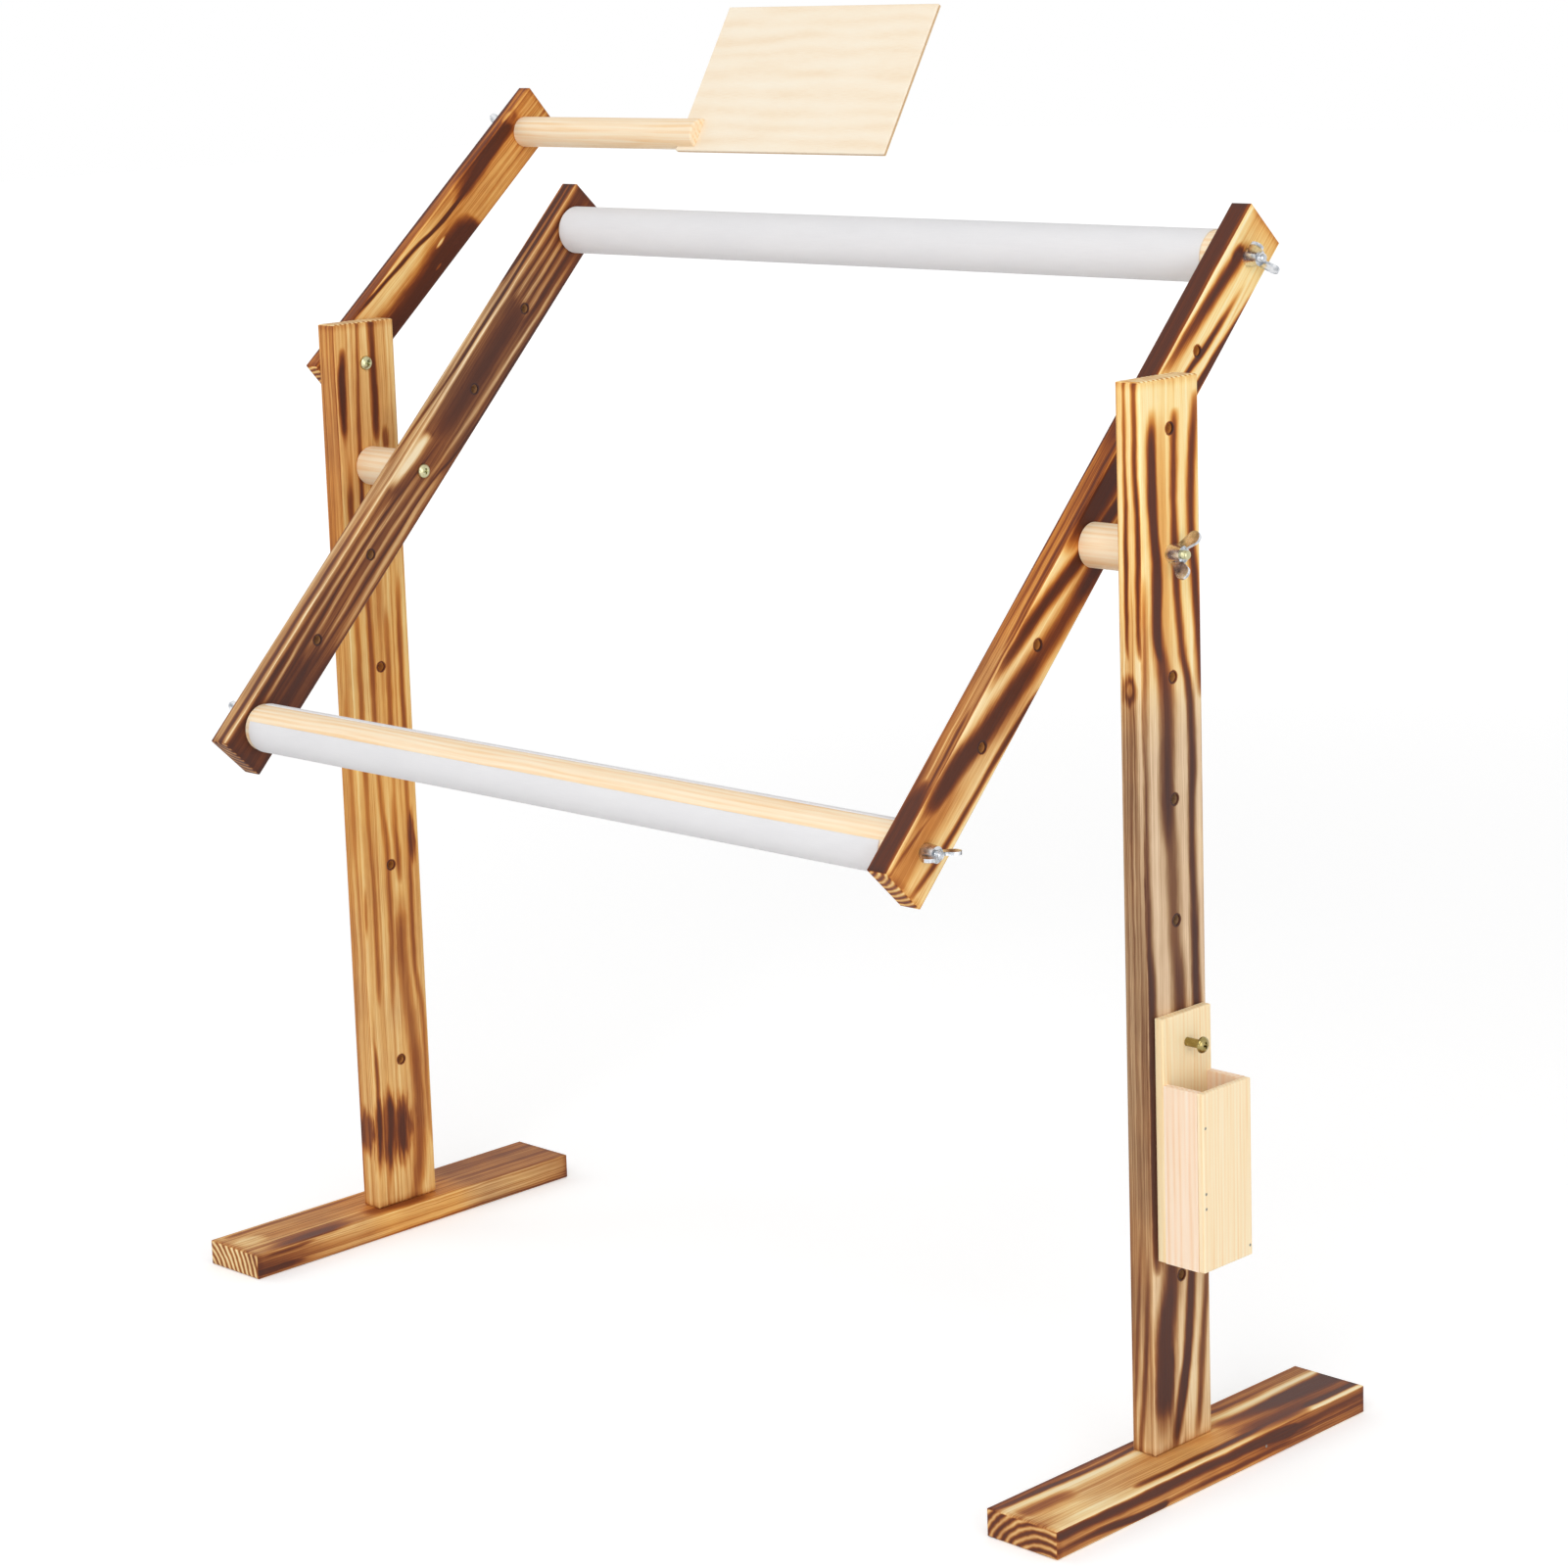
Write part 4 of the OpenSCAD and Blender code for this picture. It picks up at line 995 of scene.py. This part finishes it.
NAIL_STATIONS = (
    (-9, 0.15, 0), (-7.5, 0.6, 0), (-0.3, 0.6, 0),
    (-0.25, 0.95, 0), (0.02, 1.0, 0), (0.1, 0.85, 0), (0.14, 0.4, 0),
)


def cross_recess(place, height, reach, depth):
    """Cutter for a cross recess that goes down from a height along the Z axis of its place."""
    half = RECESS_HALF_BAR
    corners = []
    for quarter in range(4):
        turn = Matrix.Rotation(quarter * UPRIGHT, 4, "Z")
        for x, y in ((half, half), (half, reach), (-half, reach)):
            corners.append(turn @ Vector((x, y, 0)))
    cutter = bmesh.new()
    rings = []
    for level, size in ((height - 1, 1.0), (height, 1.0), (height + depth, RECESS_TAPER)):
        rings.append([
            cutter.verts.new(place @ (Vector((corner.x * size, corner.y * size, level)) * MM))
            for corner in corners
        ])
    skin_rings(cutter, rings)
    return cutter


def along_x(place, side):
    """Frame of a rod that starts at a place and points out along X to the given side."""
    return Matrix.Translation(place) @ Matrix.Rotation(side * UPRIGHT, 4, "Y")


def make_bolt(node, side, thread_length, material, body):
    """Bolt with a pan head and a cross recess, in the place of a CAD bolt. Its shank points to side."""
    low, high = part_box(node)
    length = extent(node).x / MM - HEAD_HEIGHT
    start = (low.x if side == RIGHT else high.x) + side * HEAD_HEIGHT * MM
    place = along_x(Vector((start, middle(node).y, middle(node).z)), side)
    shape = bmesh.new()
    add_rod(shape, place, bolt_stations(length, thread_length))
    bolt = new_piece(node + "_pan_head", shape, material, body)
    cut_away(bolt, cross_recess(place, -HEAD_HEIGHT, *HEAD_RECESS))
    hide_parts(node)


def make_hanger_bolts(node, wood, sides, body):
    """Headless bolts in the ends of a turned wood piece, in the place of their CAD node."""
    low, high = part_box(node)
    wood_low, wood_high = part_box(wood)
    shape = bmesh.new()
    for side in sides:
        face = wood_high.x if side == RIGHT else wood_low.x
        out = (high.x - face if side == RIGHT else face - low.x) / MM
        place = along_x(Vector((face, middle(node).y, middle(node).z)), side)
        add_rod(shape, place, hanger_stations(out))
    bolts = new_piece(node + "_threaded", shape, ZINC, body)
    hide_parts(node)


def make_foot_screws(node, post):
    """Two countersunk wood screws up through a foot into its post."""
    shape = bmesh.new()
    places = []
    for offset in (-FOOT_SCREW_SPACING / 2, FOOT_SCREW_SPACING / 2):
        spot = Vector((middle(post).x, middle(post).y + offset * MM, FOOT_SCREW_DEPTH_IN_SOLE * MM))
        places.append(Matrix.Translation(spot))
        add_rod(shape, places[-1], foot_screw_stations(), WOOD_THREAD)
    screws = new_piece(node + "_threaded", shape, YELLOW_ZINC, "stand")
    for place in places:
        cut_away(screws, cross_recess(place, 0, *FOOT_SCREW_RECESS))
    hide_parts(node)


def make_nails(name, wood, places, body):
    """Small brad heads in the right face of a piece of wood, each at (y, z) in metres."""
    shape = bmesh.new()
    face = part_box(wood)[1].x
    for y, z in places:
        add_rod(shape, along_x(Vector((face, y, z)), RIGHT), NAIL_STATIONS, sides=16)
    new_piece(name, shape, NAIL_STEEL, body)


make_bolt("left_pivot_bolt", LEFT, PIVOT_THREAD, YELLOW_ZINC, "frame")
make_bolt("right_pivot_bolt", RIGHT, PIVOT_THREAD, YELLOW_ZINC, "frame")
make_bolt("pattern_arm_bolt", LEFT, PATTERN_ARM_THREAD, YELLOW_ZINC, "stand")
make_bolt("caddy_bolt", LEFT, CADDY_THREAD, BRASSY, "stand")
make_hanger_bolts("upper_roller_bolts", "upper_roller", (LEFT, RIGHT), "upper_roller")
make_hanger_bolts("lower_roller_bolts", "lower_roller", (LEFT, RIGHT), "lower_roller")
make_hanger_bolts("pattern_stick_bolt", "pattern_stick", (LEFT,), "pattern_board")
make_foot_screws("left_foot_screws", "left_post")
make_foot_screws("right_foot_screws", "right_post")
make_nails("caddy_nails", "caddy_outer_board", [
    (middle("caddy_outer_board").y + y * MM, z * MM)
    for y, z in ((-22.5, 251), (-22.5, 207), (-22.5, 197), (22.5, 161))
], "caddy")
make_nails("foot_nail", "right_foot", [(STAND_MIDDLE.y + 52 * MM, FOOT.z / 2)], "stand")


# Camera

CAMERA_PLACE = Vector((1931.38, -1882.96, 1004.63)) * MM + STAND_MIDDLE
CAMERA_YAW = 0.7824
CAMERA_PITCH = 0.1751
CAMERA_ROLL = -0.0327
PHOTO_SIDE = 1601
FOCAL_PIXELS = 3919.8
PICTURE_RISE_PIXELS = 160

camera_data = bpy.data.cameras.new("camera")
camera_data.sensor_width = 36
camera_data.lens = FOCAL_PIXELS / PHOTO_SIDE * camera_data.sensor_width
camera_data.shift_y = -PICTURE_RISE_PIXELS / PHOTO_SIDE
camera = bpy.data.objects.new("camera", camera_data)
camera.matrix_world = (
    Matrix.Translation(CAMERA_PLACE)
    @ Matrix.Rotation(CAMERA_YAW, 4, "Z")
    @ Matrix.Rotation(UPRIGHT - CAMERA_PITCH, 4, "X")
    @ Matrix.Rotation(CAMERA_ROLL, 4, "Z")
)
scene.collection.objects.link(camera)
scene.camera = camera


# Floor and light

WHITE = (1, 1, 1, 1)
WORLD_LIGHT = 0.62
FLOOR_HALF_SIDE = 14
FLOOR_LIFT = 0.34
FLOOR_FAR_LIFT = 0.2
FLOOR_NEAR_MM = 1000
FLOOR_FAR_MM = 5000
STAND_AIM = (0, 0, 0.45)
FRAME_AIM = (0, 0, 0.7)


def backdrop_rays(g):
    """1 for the rays that see the backdrop: from the camera, off metal or through glass."""
    rays = g.add("LightPath").outputs
    seen = Signal(g, rays["Is Camera Ray"])
    for kind in ("Is Glossy Ray", "Is Transmission Ray"):
        seen = g.math("MAXIMUM", seen, Signal(g, rays[kind]))
    return seen


def floor_material():
    """Pale floor that the camera sees as white, with the object's shadow kept."""
    g = material_graph("pale_floor")
    x, y, _ = g.place()
    speckle = g.noise(x / 4, y / 4, 0, 2)
    away = g.step(g.math("SQRT", x * x + y * y), FLOOR_NEAR_MM, FLOOR_FAR_MM)
    colour = g.ramp(speckle + 0.5, ((0, "#e9e9e9"), (1, "#eeeeee")))
    lift = (away * FLOOR_FAR_LIFT + FLOOR_LIFT) * backdrop_rays(g)
    return g.finish(colour, 0.9, Emission_Color=WHITE, Emission_Strength=lift)


def make_floor():
    """Wide floor under the stand."""
    shape = bmesh.new()
    bmesh.ops.create_grid(shape, x_segments=4, y_segments=4, size=FLOOR_HALF_SIDE)
    floor = add_object("floor", shape)
    floor.data.materials.append(floor_material())


def make_world():
    """Even light from all sides, in front of a white backdrop."""
    g = Graph(bpy.data.worlds.new("studio"))
    blend = g.add("MixShader")
    g.feed(blend.inputs[0], backdrop_rays(g))
    for socket, strength in zip(blend.inputs[1:], (WORLD_LIGHT, 1.0)):
        light = g.add("Background")
        light.inputs["Color"].default_value = WHITE
        light.inputs["Strength"].default_value = strength
        g.links.new(light.outputs[0], socket)
    output = g.add("OutputWorld")
    g.links.new(blend.outputs[0], output.inputs[0])
    scene.world = g.owner


def make_lamp(name, place, aim, size, power):
    """Square lamp that looks from its place to its aim."""
    data = bpy.data.lights.new(name, "AREA")
    data.shape = "SQUARE"
    data.size = size
    data.energy = power
    lamp = bpy.data.objects.new(name, data)
    lamp.location = place
    lamp.rotation_euler = (Vector(aim) - Vector(place)).to_track_quat("-Z", "Y").to_euler()
    scene.collection.objects.link(lamp)


make_floor()
make_world()
make_lamp("key_light", (1.6, -2.6, 2.8), STAND_AIM, 1.6, 36)
make_lamp("fill_light", (-2.8, -1.4, 2.2), STAND_AIM, 2.2, 14)
make_lamp("side_light", (2.9, -1.1, 0.8), STAND_AIM, 1.8, 21)
make_lamp("low_light", (0.9, -2.7, 0.2), FRAME_AIM, 1.2, 6)
scene.view_settings.view_transform = "Standard"
